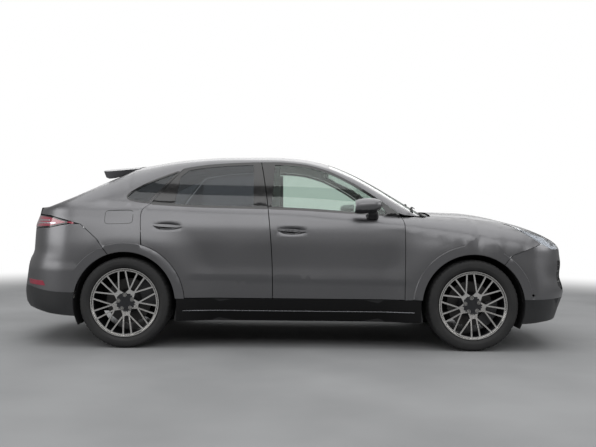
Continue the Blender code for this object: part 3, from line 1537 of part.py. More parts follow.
CALIPER_INNER = 0.125
CALIPER_OUTER = 0.232
CALIPER_SPAN = 34
FRONT_CALIPER_ANGLE = -24.0
REAR_CALIPER_ANGLE = 24.0
CALIPER_FACE = 0.014
CARRIER_FACE = -0.0535
CARRIER_BACK = -0.086
KNUCKLE_RADIUS = 0.120
KNUCKLE_HALF_HEIGHT = 0.120
BEAM_HALF = 0.020
FRONT_BEAM_HEIGHT = 0.2315
REAR_BEAM_HEIGHT = 0.250
ENGINE_HALF_WIDTH = 0.3996
STUB_RADIUS = 0.045


def caliper(centre_angle, name):
    """Brake caliper astride the disc, in the frame of a left wheel."""
    ring = [polar(CALIPER_OUTER, centre_angle + a) for a in range(-CALIPER_SPAN, CALIPER_SPAN + 1, 17)]
    ring += [polar(CALIPER_INNER, centre_angle + a) for a in range(CALIPER_SPAN, -CALIPER_SPAN - 1, -17)]
    block = prism(name, ring, CARRIER_BACK, CALIPER_FACE, None, cutters)
    slot = drum("slot", (0, (DISC_INNER + DISC_OUTER) / 2, 0), DISC_RADIUS + ROTOR_GAP,
                DISC_OUTER - DISC_INNER + 2 * ROTOR_GAP, "Y")
    cut(block, slot)
    return block


def make_knuckle():
    """Front steering knuckle with a caliper, turned about the upright through the wheel's centre."""
    knuckle = drum("knuckle", (0, 0, 0), KNUCKLE_RADIUS, 2 * KNUCKLE_HALF_HEIGHT, "Z", sides=48, collection=cutters)
    reach = KNUCKLE_RADIUS + CUT_OVERRUN
    cut(knuckle, box("face", (-reach, CARRIER_FACE, -reach), (reach, reach, reach)))
    add(knuckle, drum("stub", (0, (CARRIER_FACE - STUB_RADIUS + DISC_INNER - SEAT_GAP) / 2, 0), STUB_RADIUS,
                      DISC_INNER - SEAT_GAP - CARRIER_FACE + STUB_RADIUS, "Y", sides=20))
    add(knuckle, caliper(FRONT_CALIPER_ANGLE, "caliper"))
    freeze(knuckle)
    for side, hand in ((1, "left"), (-1, "right")):
        pivot = Vector((FRONT_AXLE_X, side * FRONT_TRACK / 2, FRONT_TYRE_RADIUS))
        flip = Matrix.Identity(4) if side > 0 else Matrix.Scale(-1, 4, (0, 1, 0))
        copy = moved(knuckle, "knuckle_" + hand, Matrix.Translation(pivot) @ flip, black_trim(), pivot)
        if side < 0:
            copy.data.flip_normals()
    bpy.data.objects.remove(knuckle, do_unlink=True)


def make_front_axle():
    low = FRONT_BEAM_HEIGHT
    high = low + BEAM_HALF
    reach = FRONT_TRACK / 2 - KNUCKLE_RADIUS - SEAT_GAP
    axle = box("front_axle", (FRONT_AXLE_X - BEAM_HALF, -reach, low), (FRONT_AXLE_X + BEAM_HALF, reach, high + BEAM_HALF),
               black_trim())
    for side in (1, -1):
        a, b = sorted((side * (RAIL_WIDTH + SHUT_GAP), side * (FRONT_HOUSE_WIDTH - LINER_THICKNESS - SHUT_GAP)))
        add(axle, box("tower", (FRONT_AXLE_X - 3 * BEAM_HALF, a, low + SHUT_GAP),
                      (FRONT_AXLE_X + 3 * BEAM_HALF, b, HEIGHT * 0.30 - SEAT_GAP)))
    return axle


def make_rear_axle():
    low = REAR_BEAM_HEIGHT - BEAM_HALF
    face = REAR_TRACK / 2 + CARRIER_FACE
    axle = box("rear_axle", (REAR_AXLE_X - 2 * BEAM_HALF, -face, low), (REAR_AXLE_X + 2 * BEAM_HALF, face, low + 2 * BEAM_HALF),
               black_trim())
    for side in (1, -1):
        inner = REAR_TRACK / 2 + CARRIER_BACK
        a, b = sorted((side * inner, side * (face - SEAT_GAP)))
        add(axle, box("upright", (REAR_AXLE_X - 5 * BEAM_HALF, a, low + SHUT_GAP),
                      (REAR_AXLE_X + 5 * BEAM_HALF, b, REAR_TYRE_RADIUS + 6 * BEAM_HALF)))
        stub_end = REAR_TRACK / 2 + DISC_INNER - SEAT_GAP
        stub_start = face - BEAM_HALF
        add(axle, drum("stub", (REAR_AXLE_X, side * (stub_end + stub_start) / 2, REAR_TYRE_RADIUS), STUB_RADIUS,
                       stub_end - stub_start, "Y", sides=20))
        clamp = freeze(caliper(REAR_CALIPER_ANGLE, "clamp"))
        flip = Matrix.Identity(4) if side > 0 else Matrix.Scale(-1, 4, (0, 1, 0))
        clamp.data.transform(Matrix.Translation((REAR_AXLE_X, side * REAR_TRACK / 2, REAR_TYRE_RADIUS)) @ flip)
        if side < 0:
            clamp.data.flip_normals()
        add(axle, clamp)
        a, b = sorted((side * HEIGHT * 0.20, side * HEIGHT * 0.24))
        add(axle, box("tower", (REAR_AXLE_X - BEAM_HALF, a, low + SHUT_GAP),
                      (REAR_AXLE_X + BEAM_HALF, b, HEIGHT * 0.390 - FLOOR_THICKNESS - SEAT_GAP)))
    return axle


def make_engine():
    return box("engine", (station_x(0.905), -ENGINE_HALF_WIDTH, HEIGHT * 0.19),
               (station_x(1.10), ENGINE_HALF_WIDTH, HEIGHT * 0.47), black_trim())


def make_exhaust():
    """Silencer across the tail with a pipe to the front and two outlets."""
    top = HEIGHT * 0.390 - FLOOR_THICKNESS - SEAT_GAP
    x = station_x(-0.52)
    y = HALF_WIDTH * 0.42
    pipe_y = HALF_WIDTH * 0.15
    middle = HEIGHT * 0.205
    surface = material("steel", CAST_GREY, 0.35, 1.0)
    body = drum("exhaust", (x, 0, middle), HEIGHT * 0.055, 2 * y, "Y", surface, sides=20)
    for side in (1, -1):
        add(body, drum("outlet", (x - HEIGHT * 0.10, side * (y - 0.06), middle), HEIGHT * 0.024, HEIGHT * 0.22, "X", sides=16))
        add(body, box("hanger", (x - BEAM_HALF / 2, side * pipe_y - BEAM_HALF / 2, middle),
                      (x + BEAM_HALF / 2, side * pipe_y + BEAM_HALF / 2, top)))
    return body


# Cabin

SEAT_HALF_WIDTH = 0.255
SEAT_PLACE = 0.385
BENCH_HALF_WIDTH = 0.630
DASH_HALF_WIDTH = 0.612
CONSOLE_HALF_WIDTH = 0.105
seat_outline = ((0.20, 0.3162), (0.23, 0.500), (0.26, 0.560), (0.22, 0.610), (-0.20, 0.585), (-0.36, 1.020),
                (-0.335, 1.060), (-0.365, 1.200), (-0.440, 1.215), (-0.455, 1.060), (-0.485, 1.020),
                (-0.335, 0.520), (-0.28, 0.3162))
bench_outline = ((-0.66, 0.4560), (-0.64, 0.570), (-0.68, 0.610), (-1.00, 0.590), (-1.20, 1.000), (-1.19, 1.030),
                 (-1.235, 1.140), (-1.300, 1.145), (-1.315, 1.000), (-1.215, 0.700), (-1.04, 0.4560))
dash_shares = ((0.8637, 0.385), (0.8716, 0.598), (0.850, 0.640), (0.800, 0.655), (0.755, 0.640), (0.735, 0.590),
               (0.760, 0.520), (0.770, 0.420), (0.835, 0.385))
console_shares = ((0.790, 0.1904), (0.802, 0.450), (0.765, 0.450), (0.700, 0.385), (0.400, 0.375), (0.380, 0.340),
                  (0.380, 0.1904))
WHEEL_RADIUS = 0.185
WHEEL_GRIP = 0.015
WHEEL_TILT = 22
steering_place = (0.485, SEAT_PLACE, 0.955)


def make_seats():
    leather = material("dark_leather", CABIN_BLACK, 0.6)
    for side, hand in ((1, "left"), (-1, "right")):
        low, high = sorted((side * SEAT_PLACE - SEAT_HALF_WIDTH, side * SEAT_PLACE + SEAT_HALF_WIDTH))
        prism("front_seat_" + hand, list(seat_outline), low, high, leather)
    prism("rear_bench", list(bench_outline), -BENCH_HALF_WIDTH, BENCH_HALF_WIDTH, leather)


def make_dashboard():
    dash = prism("dashboard", places(dash_shares), -DASH_HALF_WIDTH, DASH_HALF_WIDTH, black_trim())
    add(dash, prism("console", places(console_shares), -CONSOLE_HALF_WIDTH, CONSOLE_HALF_WIDTH))
    ring = [polar(WHEEL_GRIP, 60 * k) for k in range(6)]
    grip = turned("grip", [(y, WHEEL_RADIUS + r) for y, r in ring], 24, None, cutters)
    add(grip, drum("boss", (0, 0, 0), WHEEL_GRIP * 3, WHEEL_GRIP * 2.2, "Y", sides=16))
    add(grip, box("bar", (-WHEEL_RADIUS, -WHEEL_GRIP / 2, -WHEEL_GRIP), (WHEEL_RADIUS, WHEEL_GRIP / 2, WHEEL_GRIP)))
    add(grip, drum("column", (0, WHEEL_RADIUS, 0), WHEEL_GRIP * 1.8, WHEEL_RADIUS * 2.2, "Y", sides=12))
    freeze(grip)
    turn = Matrix.Rotation(math.radians(WHEEL_TILT), 4, "Y") @ Matrix.Rotation(-math.pi / 2, 4, "Z")
    grip.data.transform(Matrix.Translation(steering_place) @ turn)
    add(dash, grip)
    return dash


make_scuttle()
make_spoiler()
make_mirror(1, "left")
make_mirror(-1, "right")
wheel_pair(True)
wheel_pair(False)
make_knuckle()
make_front_axle()
make_rear_axle()
make_engine()
make_exhaust()
make_seats()
make_dashboard()


# Stays from the tub to the panels, and hinge pins under the doors

PIN_RADIUS = 0.010
PROP_RADIUS = 0.009
FRONT_HINGE_X = 0.870
REAR_HINGE_X = -0.250
FRONT_HINGE_Y = 0.950
REAR_HINGE_Y = 0.930
BONNET_HINGE_X = 1.176
BONNET_HINGE_Y = 0.600
GATE_HINGE_X = -1.3668


def clear_length(tub, start, way):
    """Distance from a place to the nearest panel in its way, at the middle and rim of a stay."""
    bpy.context.view_layer.update()
    deps = bpy.context.evaluated_depsgraph_get()
    across = way.orthogonal().normalized() * PROP_RADIUS
    shortest = LENGTH
    for k in range(7):
        shift = Vector() if k == 6 else Matrix.Rotation(math.radians(60 * k), 3, way) @ across
        for item in parts.objects:
            if item is tub:
                continue
            local = item.matrix_world.inverted() @ (start + shift)
            hit, place, normal, face = item.evaluated_get(deps).ray_cast(local, way)
            if hit:
                shortest = min(shortest, (place - local).length)
    return shortest


def prop(tub, start, axis, sign=1):
    """Round stay from the tub to a seat's gap short of the panel in its way."""
    way = Vector({"X": (sign, 0, 0), "Y": (0, sign, 0), "Z": (0, 0, sign)}[axis])
    length = clear_length(tub, Vector(start), way) - 2 * SEAT_GAP
    add(tub, drum("prop", Vector(start) + way * length / 2, PROP_RADIUS, length, axis, sides=8))


def make_stays():
    tub = bpy.data.objects["floor_pan"]
    rail_top = HEIGHT * 0.30 + RAIL_HEIGHT
    for side in (1, -1):
        for x, y in ((FRONT_HINGE_X, FRONT_HINGE_Y), (REAR_HINGE_X, REAR_HINGE_Y)):
            low = sill_top - SHUT_GAP
            high = door_foot - SEAT_GAP
            add(tub, drum("pin", (x, side * y, (low + high) / 2), PIN_RADIUS, high - low, "Z", sides=12))
        y = side * BONNET_HINGE_Y
        shelf_low = HEIGHT * 0.575
        shelf_high = HEIGHT * 0.590
        x = BONNET_HINGE_X + 3 * PIN_RADIUS
        add(tub, box("shelf", (station_x(0.8725), min(y - PIN_RADIUS, y + PIN_RADIUS), shelf_low),
                     (x + PIN_RADIUS, max(y - PIN_RADIUS, y + PIN_RADIUS), shelf_high)))
        prop(tub, (x, y, (shelf_low + shelf_high) / 2), "Z")
        prop(tub, (station_x(1.77), side * RAIL_WIDTH * 0.70, HEIGHT * 0.34), "X")
        prop(tub, (station_x(0.845), side * 0.780, HEIGHT * 0.45), "Y", side)
        prop(tub, (station_x(0.400), side * 0.560, HEIGHT * 0.90), "Z")
        lamp_x = station_x(1.73)
        lamp_y = side * HALF_WIDTH * 0.745
        a, b = sorted((side * (RAIL_WIDTH + SHUT_GAP), lamp_y + side * PROP_RADIUS))
        add(tub, box("bracket", (lamp_x - PROP_RADIUS, a, rail_top - 3 * PROP_RADIUS),
                     (lamp_x + PROP_RADIUS, b, rail_top - PROP_RADIUS)))
        prop(tub, (lamp_x, lamp_y, rail_top - 2 * PROP_RADIUS), "Z")
        prop(tub, (station_x(-0.715), side * HALF_WIDTH * 0.30, HEIGHT * 0.426), "X", -1)
        post_x = station_x(-0.62)
        post_y = side * BOOT_HALF_WIDTH * 0.96
        lamp_z = HEIGHT * 0.630
        add(tub, drum("post", (post_x, post_y, (HEIGHT * 0.385 + lamp_z) / 2), PROP_RADIUS,
                      lamp_z - HEIGHT * 0.385, "Z", sides=8))
        prop(tub, (post_x, post_y, lamp_z - 2 * PROP_RADIUS), "X", -1)


def hang(names, pivot):
    """Puts the origins of a body's nodes on its joint's axis."""
    for name in names:
        item = freeze(bpy.data.objects[name])
        item.data.transform(Matrix.Translation(-Vector(pivot)))
        item.location = pivot


make_stays()
bonnet_hinge_z = bonnet_skin(BONNET_HINGE_X, 0.0).z
gate_hinge_z = roof_skin(GATE_HINGE_X, 0.0).z
hang(["bonnet"], (BONNET_HINGE_X, 0.0, bonnet_hinge_z))
hang(["liftgate", "rear_glass"], (GATE_HINGE_X, 0.0, gate_hinge_z))
for side, hand in ((1, "left"), (-1, "right")):
    hang(["door_front_" + hand, "glass_front_" + hand, "mirror_" + hand],
         (FRONT_HINGE_X, side * FRONT_HINGE_Y, HEIGHT * 0.45))
    hang(["door_rear_" + hand, "glass_rear_" + hand], (REAR_HINGE_X, side * REAR_HINGE_Y, HEIGHT * 0.45))
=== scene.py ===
# %% [markdown]
# # A dark grey sport utility vehicle
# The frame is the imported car: 49 plain solids on 13 moving bodies. Every piece below is made in the
# car's own metres, +X forward, +Y the driver's left, +Z up, so nothing has to be fitted. The camera
# stands at the photograph's place, square to the car's right side.

# %% Load the frame
import math
import bmesh
import bpy
import numpy as np
from mathutils import Matrix, Vector
from mathutils.geometry import delaunay_2d_cdt


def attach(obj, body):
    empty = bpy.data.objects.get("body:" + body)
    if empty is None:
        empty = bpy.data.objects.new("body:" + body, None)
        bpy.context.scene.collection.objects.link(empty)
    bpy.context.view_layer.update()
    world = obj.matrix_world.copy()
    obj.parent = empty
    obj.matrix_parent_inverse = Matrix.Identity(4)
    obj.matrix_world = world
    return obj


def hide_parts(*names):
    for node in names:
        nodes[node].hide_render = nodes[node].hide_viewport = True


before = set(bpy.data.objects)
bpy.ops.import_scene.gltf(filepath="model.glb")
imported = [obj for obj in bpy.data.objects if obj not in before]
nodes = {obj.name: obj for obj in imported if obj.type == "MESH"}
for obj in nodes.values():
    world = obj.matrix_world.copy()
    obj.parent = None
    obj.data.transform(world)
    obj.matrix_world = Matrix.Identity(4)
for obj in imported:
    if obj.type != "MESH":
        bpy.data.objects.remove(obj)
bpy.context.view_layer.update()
for item in bpy.context.selected_objects:
    item.select_set(False)

# %% [markdown]
# ## The body as one formula
# A real car is drawn as one smooth skin and then cut into panels. The solids were made that way, and
# the finer panels here repeat the same curves, so that each lies exactly where its solid lies. A
# station is -1 at the tail, 0 at the rear axle, 1 at the front axle and 2 at the nose. Each table
# gives a share of the car's height or half width at a station.

# %% Sizes and stations
LENGTH, HALF_WIDTH, HEIGHT = 4.931, 0.9915, 1.662
WHEELBASE, FRONT_OVERHANG = 2.895, 0.970
REAR_OVERHANG = LENGTH - WHEELBASE - FRONT_OVERHANG
REAR_X = REAR_OVERHANG - LENGTH / 2
FRONT_X = REAR_X + WHEELBASE
FRONT_TYRE, REAR_TYRE = 0.380, 0.377
FRONT_ARCH, REAR_ARCH = FRONT_TYRE + 0.046, REAR_TYRE + 0.046
HANDS = ((1, "left"), (-1, "right"))
# The lip is the painted band round a wheel arch. It stands proud by its rise, drops over its step,
# and the side swells out towards it over its fade.
LIP, LIP_RISE, LIP_FADE = 0.074, 0.008, 0.30
LIP_STEP, LIP_ROWS = (-0.004, 0.001), (-0.004, 0.0012)
# Panels stand a gap apart, the doors a wider one, and a pane sits in its hole with a seat's play.
GAP, DOOR_GAP, SEAT = 0.005, 0.007, 0.0004
SKIN, STEP = 0.009, 0.034
# Stations where the roof, the windscreen and the tail's edge start and end.
ROOF_REAR, SCREEN_TOP, SCREEN_FOOT, TAIL_END = 0.012, 0.588, 0.868, -0.76


def station_x(station):
    if station < 0:
        return REAR_X + station * REAR_OVERHANG
    if station > 1:
        return FRONT_X + (station - 1) * FRONT_OVERHANG
    return REAR_X + station * WHEELBASE


def x_station(x):
    if x < REAR_X:
        return (x - REAR_X) / REAR_OVERHANG
    if x > FRONT_X:
        return 1 + (x - FRONT_X) / FRONT_OVERHANG
    return (x - REAR_X) / WHEELBASE


def table(shares, place):
    """Smooth curve through (place, value) pairs, with no overshoot between them."""
    last = len(shares) - 1
    if place <= shares[0][0]:
        return shares[0][1]
    if place >= shares[last][0]:
        return shares[last][1]
    i = 0
    while place > shares[i + 1][0]:
        i += 1

    def slope(k):
        return (shares[k + 1][1] - shares[k][1]) / (shares[k + 1][0] - shares[k][0])

    def tangent(k):
        if k == 0:
            return slope(0)
        if k == last:
            return slope(last - 1)
        before, after = slope(k - 1), slope(k)
        return 2 * before * after / (before + after) if before * after > 0 else 0.0

    run = shares[i + 1][0] - shares[i][0]
    t = (place - shares[i][0]) / run
    start, end = shares[i][1], shares[i + 1][1]
    return (start + (end - start) * t * t * (3 - 2 * t)
            + run * (t * (1 - t) ** 2 * tangent(i) - t * t * (1 - t) * tangent(i + 1)))


def ease(value, low, high):
    t = min(1.0, max(0.0, (value - low) / (high - low)))
    return t * t * (3 - 2 * t)


def mix(a, b, t):
    return a + (b - a) * t


def round_off(t, power):
    """Height of a rounded corner at a share of its run, both from 0 to 1."""
    return (1 - t ** power) ** (1 / power)


print("axles at", round(REAR_X, 3), round(FRONT_X, 3))

# %% Tables of the body's curves
side_shares = ((0.12, 0.905), (0.185, 0.944), (0.245, 0.956), (0.345, 0.970), (0.42, 0.962),
               (0.52, 0.966), (0.60, 0.957), (0.655, 0.934), (0.71, 0.886))
belt_shares = ((-0.4, 0.735), (0.0, 0.728), (0.21, 0.712), (0.45, 0.705), (0.75, 0.679), (0.90, 0.672))
top_shares = ((-0.87, 0.704), (-0.75, 0.720), (-0.55, 0.775), (-0.34, 0.842), (-0.16, 0.893),
              (0.02, 0.945), (0.14, 0.980), (0.28, 0.997), (0.42, 1.0), (0.50, 0.992),
              (0.58, 0.966), (0.65, 0.922), (0.73, 0.853), (0.80, 0.782), (0.875, 0.703))
edge_shares = ((-0.87, 0.450), (-0.76, 0.525), (-0.60, 0.600), (-0.34, 0.600), (0.0, 0.560), (0.25, 0.575),
               (0.50, 0.605), (0.65, 0.660), (0.80, 0.730), (0.90, 0.775))
drop_shares = ((-0.87, 0.004), (-0.60, 0.030), (-0.34, 0.036), (0.0, 0.032), (0.25, 0.030),
               (0.50, 0.034), (0.65, 0.045), (0.80, 0.056), (0.90, 0.050))
bonnet_shares = ((0.83, 0.702), (0.95, 0.699), (1.08, 0.692), (1.24, 0.677), (1.40, 0.655),
                 (1.55, 0.628), (1.70, 0.594), (1.84, 0.553), (1.92, 0.515), (1.951, 0.490))
shoulder_shares = ((0.78, 0.604), (0.90, 0.560), (1.05, 0.490))
nose_shares = ((0.12, 0.900), (0.20, 0.945), (0.285, 1.0), (0.32, 0.985), (0.37, 0.955), (0.43, 0.968),
               (0.49, 0.951))
tail_shares = ((0.15, 0.860), (0.20, 0.985), (0.26, 1.0), (0.34, 0.985), (0.42, 0.965), (0.475, 0.925),
               (0.60, 0.915), (0.66, 0.885), (0.705, 0.875))
frame_shares = ((-0.87, 0.676), (-0.60, 0.696), (-0.40, 0.714), (-0.15, 0.737), (-0.03, 0.757),
                (0.012, 0.802), (0.060, 0.847), (0.118, 0.887), (0.176, 0.917), (0.267, 0.938),
                (0.359, 0.947), (0.438, 0.949), (0.504, 0.941), (0.573, 0.912), (0.641, 0.858),
                (0.708, 0.787), (0.773, 0.708), (0.800, 0.681), (0.88, 0.668))
NOSE_START = FRONT_X + FRONT_OVERHANG * 0.47
TAIL_START = REAR_X - REAR_OVERHANG * 0.38
NOSE_TOP, TAIL_TOP = HEIGHT * 0.490, HEIGHT * 0.704
NOSE_POWER, TAIL_POWER, SHOULDER_POWER = 2.2, 2.15, 3.0
BAND, ROLL = 0.240, 0.300
print("curves", len(top_shares) + len(side_shares))


# %% The skins
def nose_reach(z):
    return FRONT_X + FRONT_OVERHANG * table(nose_shares, z / HEIGHT)


def tail_reach(z):
    return REAR_X - REAR_OVERHANG * table(tail_shares, z / HEIGHT)


def plan_factor(x, z):
    """How the body narrows round its four corners, seen from above."""
    if x > NOSE_START:
        t = min(1.0, (x - NOSE_START) / (nose_reach(z) - NOSE_START))
        return round_off(t, NOSE_POWER)
    if x < TAIL_START:
        t = min(1.0, (TAIL_START - x) / (TAIL_START - tail_reach(z)))
        return round_off(t, TAIL_POWER)
    return 1.0


def side_width(x, z):
    """Half width of the side at height z, swelling out round the wheels."""
    width = HALF_WIDTH * table(side_shares, z / HEIGHT)
    for axle, tyre, arch in ((FRONT_X, FRONT_TYRE, FRONT_ARCH), (REAR_X, REAR_TYRE, REAR_ARCH)):
        reach = math.hypot(x - axle, z - tyre)
        swell = 1 - ease(reach, arch + LIP, arch + LIP + LIP_FADE)
        width = mix(width, HALF_WIDTH - LIP_RISE, swell * (1 - ease(z, 0.50 * HEIGHT, 0.66 * HEIGHT)))
        width += LIP_RISE * (1 - ease(reach, arch + LIP + LIP_STEP[0], arch + LIP + LIP_STEP[1]))
    return width


def bonnet_height(x):
    return HEIGHT * table(bonnet_shares, x_station(x))


def shoulder_height(x):
    return HEIGHT * table(shoulder_shares, x_station(x))


def front_skin(x, z):
    """Point of the front wing's side, which rolls over towards the bonnet."""
    shoulder = shoulder_height(x)
    factor = plan_factor(x, min(z, shoulder))
    if z > shoulder:
        rise = min(1.0, (z - shoulder) / (bonnet_height(x) - shoulder))
        factor *= round_off(rise, SHOULDER_POWER)
    return Vector((x, side_width(x, min(z, shoulder)) * factor, z))


def shoulder_width(x):
    shoulder = shoulder_height(x)
    return side_width(x, shoulder) * plan_factor(x, shoulder)


def bonnet_skin(x, y):
    """Point of the top of the front, for a place given from above."""
    rise = round_off(min(1.0, abs(y) / shoulder_width(x)), SHOULDER_POWER)
    return Vector((x, y, mix(shoulder_height(x), bonnet_height(x), rise)))


def edge_point(x):
    """Where the roof or a screen meets the side frame."""
    station = x_station(x)
    height = table(top_shares, station) - table(drop_shares, station)
    return Vector((x, HALF_WIDTH * table(edge_shares, station), HEIGHT * height))


def roof_skin(x, y):
    """Windscreen, roof and rear window, for a place given from above."""
    station = x_station(x)
    share = abs(y) / (HALF_WIDTH * table(edge_shares, station))
    drop = table(drop_shares, station) * share ** 2.3
    return Vector((x, y, HEIGHT * (table(top_shares, station) - drop)))


def belt_height(x):
    return HEIGHT * table(belt_shares, x_station(x))


def glass_y(x, z):
    """Half width of the leaning, slightly barrelled plane of the side glass."""
    belt = belt_height(x)
    rise = z - belt
    share = rise / (HEIGHT * 0.949 - belt)
    bulge = 4 * share * (1 - share) * 0.016 * HALF_WIDTH
    plan = 1 - 0.045 * ease(x_station(x), 0.45, 0.95) - 0.05 * ease(-x_station(x), -0.25, 0.30)
    width = HALF_WIDTH * 0.880 * plan - 0.50 * rise + bulge
    return width * plan_factor(x, min(z, belt)) if x < TAIL_START else width


def side_skin(x, z):
    """Point of the doors and the rear quarter: body side below the belt, glass plane above."""
    belt = belt_height(x)
    if z >= belt:
        return Vector((x, glass_y(x, z), z))
    low = belt - 0.050 * HEIGHT
    body = side_width(x, z) * plan_factor(x, z)
    if z > low:
        rise = ((z - low) / (belt - low)) ** 2.2
        body = mix(side_width(x, low) * plan_factor(x, low), glass_y(x, belt), rise)
    forward = ease(x_station(x), 0.70, 0.80)
    return Vector((x, mix(body, front_skin(x, z).y, forward) if forward else body, z))


print("belt at the door's rear", round(belt_height(0), 3))

# %% [markdown]
# ## Maps that unroll the skin
# A roof rail or a wing's roll is nearly level, so it can't be drawn on a side view. Each map gives one
# flat place for one point of the skin, past the point where the side view ends.


# %% Flat maps
def frame_top(x):
    return HEIGHT * table(frame_shares, x_station(x))


def frame_foot(x):
    low = side_skin(x, frame_top(x))
    forward = ease(x_station(x), 0.79, 0.868)
    if forward:
        low = low.lerp(bonnet_skin(x, 0.810 * HALF_WIDTH) + Vector((0, 0, 0.009)), forward)
    return low


def side_map(x, w):
    """Body side below the doors' top line, then the band that rolls over to the roof."""
    top = frame_top(x)
    if w <= top:
        return side_skin(x, w)
    v = min(1.0, (w - top) / BAND)
    low, high = frame_foot(x), edge_point(x)
    corner = Vector((x, mix(high.y, low.y, 0.80), mix(low.z, high.z, 0.86)))
    return low * (1 - v) ** 2 + corner * (2 * v * (1 - v)) + high * v ** 2


def wing_map(x, w):
    """Front wing: its side below the shoulder, then the roll towards the bonnet."""
    shoulder = shoulder_height(x)
    if w <= shoulder:
        return front_skin(x, w)
    angle = min(1.0, (w - shoulder) / ROLL) * math.pi / 2
    out, up = math.cos(angle) ** (2 / SHOULDER_POWER), math.sin(angle) ** (2 / SHOULDER_POWER)
    return Vector((x, shoulder_width(x) * out, mix(shoulder, bonnet_height(x), up)))


def wing_place(x, y):
    share = min(1.0, y / shoulder_width(x))
    return shoulder_height(x) + ROLL * math.acos(share ** (SHOULDER_POWER / 2)) / (math.pi / 2)


def wing_height(x, z):
    shoulder = shoulder_height(x)
    if z <= shoulder:
        return z
    rise = min(1.0, (z - shoulder) / (bonnet_height(x) - shoulder))
    return shoulder + ROLL * math.asin(rise ** (SHOULDER_POWER / 2)) / (math.pi / 2)


def front_reach(z):
    """How far forward the front's centre line is at a height: bumper, then bonnet."""
    if z <= NOSE_TOP:
        return nose_reach(z)
    low, high = NOSE_START, nose_reach(NOSE_TOP)
    for _ in range(40):
        middle = (low + high) / 2
        if bonnet_height(middle) > z:
            low = middle
        else:
            high = middle
    return low


def nose_map(a, z):
    """Front end: a runs round the plan curve from the middle, past the corner, to the side."""
    side, a = (1, a) if a >= 0 else (-1, -a)
    if a < 1:
        x = NOSE_START + (front_reach(z) - NOSE_START) * math.cos(a * math.pi / 2) ** (2 / NOSE_POWER)
    else:
        x = NOSE_START - (a - 1)
    return Vector((x, side * front_skin(x, z).y, z))


def nose_place(x, z):
    if x <= NOSE_START:
        return 1 + NOSE_START - x
    t = min(1.0, (x - NOSE_START) / (front_reach(z) - NOSE_START))
    return math.acos(t ** (NOSE_POWER / 2)) / (math.pi / 2)


def tail_map(a, z):
    side, a = (1, a) if a >= 0 else (-1, -a)
    if a < 1:
        x = TAIL_START - (TAIL_START - tail_reach(z)) * math.cos(a * math.pi / 2) ** (2 / TAIL_POWER)
        y = side_width(TAIL_START, z) * math.sin(a * math.pi / 2) ** (2 / TAIL_POWER)
    else:
        x = TAIL_START + (a - 1)
        y = side_width(x, z)
    return Vector((x, side * y, z))


def tail_place(x, z):
    if x >= TAIL_START:
        return 1 + x - TAIL_START
    t = min(1.0, (TAIL_START - x) / (TAIL_START - tail_reach(z)))
    return math.acos(t ** (TAIL_POWER / 2)) / (math.pi / 2)


def tail_x(y, z):
    """How far back the tail reaches, at a half width and a height."""
    t = min(1.0, abs(y) / side_width(TAIL_START, z))
    return TAIL_START - (TAIL_START - tail_reach(z)) * round_off(t, TAIL_POWER)


def gate_foot_place(y, z):
    return math.asin(min(1.0, y / side_width(TAIL_START, z)) ** (TAIL_POWER / 2)) / (math.pi / 2)


GATE_RUN, GATE_START = 1.040, station_x(ROOF_REAR)


def gate_map(s, y):
    """Tailgate: down the rear window to the tail's edge, then down its face."""
    edge = tail_x(y, TAIL_TOP)
    if s <= GATE_RUN:
        return roof_skin(mix(GATE_START, edge, s / GATE_RUN), y)
    z = roof_skin(edge, y).z - (s - GATE_RUN)
    return Vector((tail_x(y, z), y, z))


def gate_place(x, y):
    return GATE_RUN * (GATE_START - x) / (GATE_START - tail_x(y, TAIL_TOP))


print("nose at", round(nose_map(0, 0.47).x, 3), "tail at", round(tail_map(0, 0.43).x, 3))

# %% [markdown]
# ## Finishes
# Each finish is a small node tree on one Principled shader. Patterns read Object coordinates, which
# are the car's own metres, so a scale of 1000 gives grains about a millimetre wide. What is the same
# all over is set on the shader's socket, and only what varies is a node.


# %% Colour and node helpers
def linear(hexcode):
    """A colour as written on screen, as the linear values that the shader takes."""
    parts = [int(hexcode[i:i + 2], 16) / 255 for i in (0, 2, 4)]
    return tuple(c / 12.92 if c <= 0.04045 else ((c + 0.055) / 1.055) ** 2.4 for c in parts) + (1.0,)


def add_node(tree, kind, settings=(), **links):
    """Adds a node, sets its values and joins its inputs to the named outputs."""
    made = tree.nodes.new(kind)
    for key, value in dict(settings).items():
        if hasattr(made, key):
            setattr(made, key, value)
        else:
            made.inputs[key].default_value = value
    for key, source in links.items():
        tree.links.new(source, made.inputs[key.replace("_", " ")])
    return made


def finish(name, colour, roughness, **values):
    """A new material: returns it with its tree, shader and Object coordinates."""
    made = bpy.data.materials.new(name)
    made.use_nodes = True
    tree = made.node_tree
    shader = tree.nodes["Principled BSDF"]
    shader.inputs["Base Color"].default_value = linear(colour)
    shader.inputs["Roughness"].default_value = roughness
    for key, value in values.items():
        shader.inputs[key.replace("_", " ")].default_value = value
    made.diffuse_color = linear(colour)
    place = add_node(tree, "ShaderNodeTexCoord").outputs["Object"]
    return made, tree, shader, place


def vary(tree, shader, place, scale, low, high, socket="Roughness", detail=3.0):
    """Noise of a given scale that moves a socket between two values."""
    noise = add_node(tree, "ShaderNodeTexNoise", {"Scale": scale, "Detail": detail}, Vector=place)
    limits = {"From Min": 0.3, "From Max": 0.7, "To Min": low, "To Max": high}
    span = add_node(tree, "ShaderNodeMapRange", limits, Value=noise.outputs["Fac"])
    tree.links.new(span.outputs["Result"], shader.inputs[socket])
    return noise


